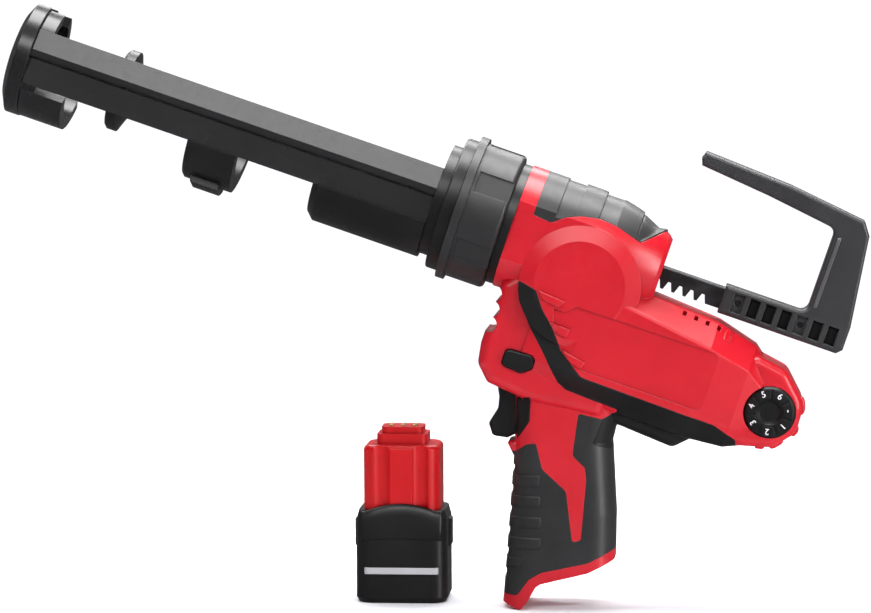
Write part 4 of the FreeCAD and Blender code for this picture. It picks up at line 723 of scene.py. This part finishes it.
def pod_tab(name, first, last):
    finder = surface("housing_left")
    points = []
    sunk = []
    for step, rise in TAB_LENGTH:
        angle = math.radians(first + (last - first) * step)
        outward = Vector((math.cos(angle), 0.0, math.sin(angle)))
        for across, share in TAB_WIDTH:
            start = Vector((DIAL.x, across * MM, DIAL.z)) + outward * CLEAR_OF_BODY * MM
            hit = seen(finder, start, -outward)
            points.append(hit + outward * min(rise, TAB_RISE * share) * MM)
            sunk.append(hit + outward * TAB_SUNK * MM)
    faces = closed_grid(points, sunk, len(TAB_LENGTH), len(TAB_WIDTH))
    finish_piece(name, points, faces, "tool", RED, smooth=True)


for count, (first, last) in enumerate(TABS):
    pod_tab("pod_tab_%d" % (count + 1), first, last)

# The battery pack: a bare bar on its front, and a proud brow on its front and back.

PACK = Vector((-92.5, 18.0, -16.4))
PACK_BAR = ((-21.0, 20.6), (21.4, 20.6), (21.4, 16.8), (-21.0, 16.8))
BROW_COLUMNS = 32
BROW_HALF = 23.6
BROW_FOOT = 36.0
BROW_FOOT_BEND = 1.2
BROW_TOP = 52.6
BROW_ARCH = 4.4
BROW_ARCH_HALF = 20.5
BROW_TURN_IN = 1.6
BROW_TURN_POWER = 8
BROW_BACK = 15.5
BROW_BACK_FOOT = 50.0


def on_pack(along, up, across=0.0):
    return (PACK + Vector((along, across, up))) * MM


def brow_section(foot, top):
    """The brow's outline at one place along it, as (depth, height) from foot over top to back."""
    return (
        (21.0, foot - 0.4),
        (22.6, foot),
        (22.9, foot + 0.7),
        (22.8, foot + 6.0),
        (22.6, top - 7.0),
        (22.0, top - 3.5),
        (21.0, top - 1.2),
        (20.3, top - 0.2),
        (19.6, top),
        (BROW_BACK, top - 0.3),
        (BROW_BACK, BROW_BACK_FOOT),
    )


def pack_brow(hand, side):
    """The proud upper face of the foot, which arches up in front of the stem and leans in to it."""
    points = []
    for column in range(BROW_COLUMNS + 1):
        along = BROW_HALF * (2.0 * column / BROW_COLUMNS - 1.0)
        bend = 1.0 - (along / BROW_HALF) ** 2
        foot = BROW_FOOT + BROW_FOOT_BEND * bend
        top = BROW_TOP + BROW_ARCH * max(0.0, 1.0 - (along / BROW_ARCH_HALF) ** 2)
        turn_in = BROW_TURN_IN * abs(along / BROW_HALF) ** BROW_TURN_POWER
        section = brow_section(foot, top)
        for depth, up in section:
            points.append(on_pack(along, up, side * (depth - turn_in)))
    count = len(section)
    faces = ring_faces(BROW_COLUMNS + 1, count)
    faces.append(tuple(range(count)))
    faces.append(tuple(range(BROW_COLUMNS * count, (BROW_COLUMNS + 1) * count)))
    finish_piece("pack_brow_" + hand, points, faces, "battery", BLACK, smooth=True)


relief(
    "pack_bar",
    PACK_BAR,
    on_pack,
    "battery_case",
    "battery",
    FOIL,
    -1.0,
    proud=0.3,
    round_by=0.02,
)
for hand, side in SIDES:
    pack_brow(hand, side)

# The floor, the lights and the camera, in metres.

FLOOR = -16.4 * MM
SHEET_SIDES = 64
FLOOR_RADIUS = 0.85
ROOM_FLAT = 6.0
ROOM_BEND = 1.5
ROOM_BEND_STEPS = 16
ROOM_HEIGHT = 9.0
ROOM_GLOW = 1.05
WORLD_GLOW = 0.15
CAMERA_AZIMUTH = math.radians(5.0)
CAMERA_ELEVATION = math.radians(5.0)
CAMERA_ROLL = math.radians(-0.3)
CAMERA_DISTANCE = 2.1
CAMERA_ACROSS = -0.0720
CAMERA_UP = 0.1532
VIEW_WIDTH = 0.495
SENSOR_WIDTH = 36.0


def soft_light(name, place, aim, size, power):
    lamp = bpy.data.lights.new(name, "AREA")
    lamp.shape = "RECTANGLE"
    lamp.size, lamp.size_y = size
    lamp.energy = power
    holder = bpy.data.objects.new(name, lamp)
    holder.location = place
    holder.rotation_euler = (Vector(aim) - Vector(place)).to_track_quat("-Z", "Y").to_euler()
    bpy.context.scene.collection.objects.link(holder)


def sheet(name, rings, finish):
    """A round sheet from the centre outward. Rings are (radius, height) above the floor."""
    points = []
    for radius, height in rings:
        for step in range(SHEET_SIDES):
            angle = TURN * step / SHEET_SIDES
            points.append((radius * math.cos(angle), radius * math.sin(angle), FLOOR + height))
    mesh = bpy.data.meshes.new(name)
    mesh.from_pydata(points, [], ring_faces(len(rings), SHEET_SIDES))
    mesh.shade_smooth()
    mesh.materials.append(finish)
    piece = bpy.data.objects.new(name, mesh)
    bpy.context.scene.collection.objects.link(piece)
    piece.visible_glossy = False
    return piece


def studio():
    """A pale floor in a white room that curves up all round, with soft light from above."""
    f = Finish("floor")
    pale = f.blend(f.noise(3.0, 2.0), grey(0.88), grey(0.90))
    floor = f.close(Base_Color=pale, Roughness=0.9)
    sheet("floor", ((0.0, 0.0), (0.3, 0.0), (FLOOR_RADIUS, 0.0)), floor)
    f = Finish("room")
    pale = f.blend(f.noise(2.0, 2.0), grey(0.98), grey(1.0))
    white = f.close(Base_Color=grey(0.0), Emission_Color=pale, Emission_Strength=ROOM_GLOW, Roughness=0.9)
    curve = [(FLOOR_RADIUS, 0.0), (ROOM_FLAT, 0.0)]
    for step in range(1, ROOM_BEND_STEPS + 1):
        angle = math.pi / 2.0 * step / ROOM_BEND_STEPS
        curve.append((ROOM_FLAT + ROOM_BEND * math.sin(angle), ROOM_BEND * (1.0 - math.cos(angle))))
    curve.append((ROOM_FLAT + ROOM_BEND, ROOM_HEIGHT))
    room = sheet("room", curve, white)
    room.visible_diffuse = False
    world = bpy.data.worlds.new("studio")
    world.use_nodes = True
    sky = world.node_tree.nodes["Background"].inputs
    sky["Color"].default_value = colour(1.0, 1.0, 1.0)
    sky["Strength"].default_value = WORLD_GLOW
    bpy.context.scene.world = world
    soft_light("top", (-0.05, 0.1, 1.4), (-0.05, 0.0, 0.15), size=(1.5, 0.7), power=42.0)
    soft_light("front", (0.0, -1.3, 1.17), (-0.14, 0.0, 0.25), size=(1.8, 0.36), power=16.0)
    soft_light("rear", (-0.05, 1.25, 1.25), (-0.05, 0.0, 0.18), size=(1.9, 0.5), power=24.0)
    soft_light("right", (1.25, -0.75, 0.3), (0.0, 0.0, 0.1), size=(0.4, 0.9), power=14.0)


def camera():
    level = Vector((math.cos(CAMERA_AZIMUTH), math.sin(CAMERA_AZIMUTH), 0.0))
    near = Vector((math.sin(CAMERA_AZIMUTH), -math.cos(CAMERA_AZIMUTH), 0.0))
    back = near * math.cos(CAMERA_ELEVATION) + Vector((0.0, 0.0, math.sin(CAMERA_ELEVATION)))
    rise = back.cross(level)
    place = level * CAMERA_ACROSS + rise * CAMERA_UP + back * CAMERA_DISTANCE
    right = level * math.cos(CAMERA_ROLL) + rise * math.sin(CAMERA_ROLL)
    up = rise * math.cos(CAMERA_ROLL) - level * math.sin(CAMERA_ROLL)
    eye = bpy.data.cameras.new("eye")
    eye.sensor_width = SENSOR_WIDTH
    eye.lens = SENSOR_WIDTH * CAMERA_DISTANCE / VIEW_WIDTH
    eye.dof.use_dof = False
    holder = bpy.data.objects.new("eye", eye)
    holder.matrix_world = Matrix.Translation(place) @ Matrix((right, up, back)).transposed().to_4x4()
    bpy.context.scene.collection.objects.link(holder)
    bpy.context.scene.camera = holder


studio()
camera()
bpy.context.scene.view_settings.view_transform = "Standard"
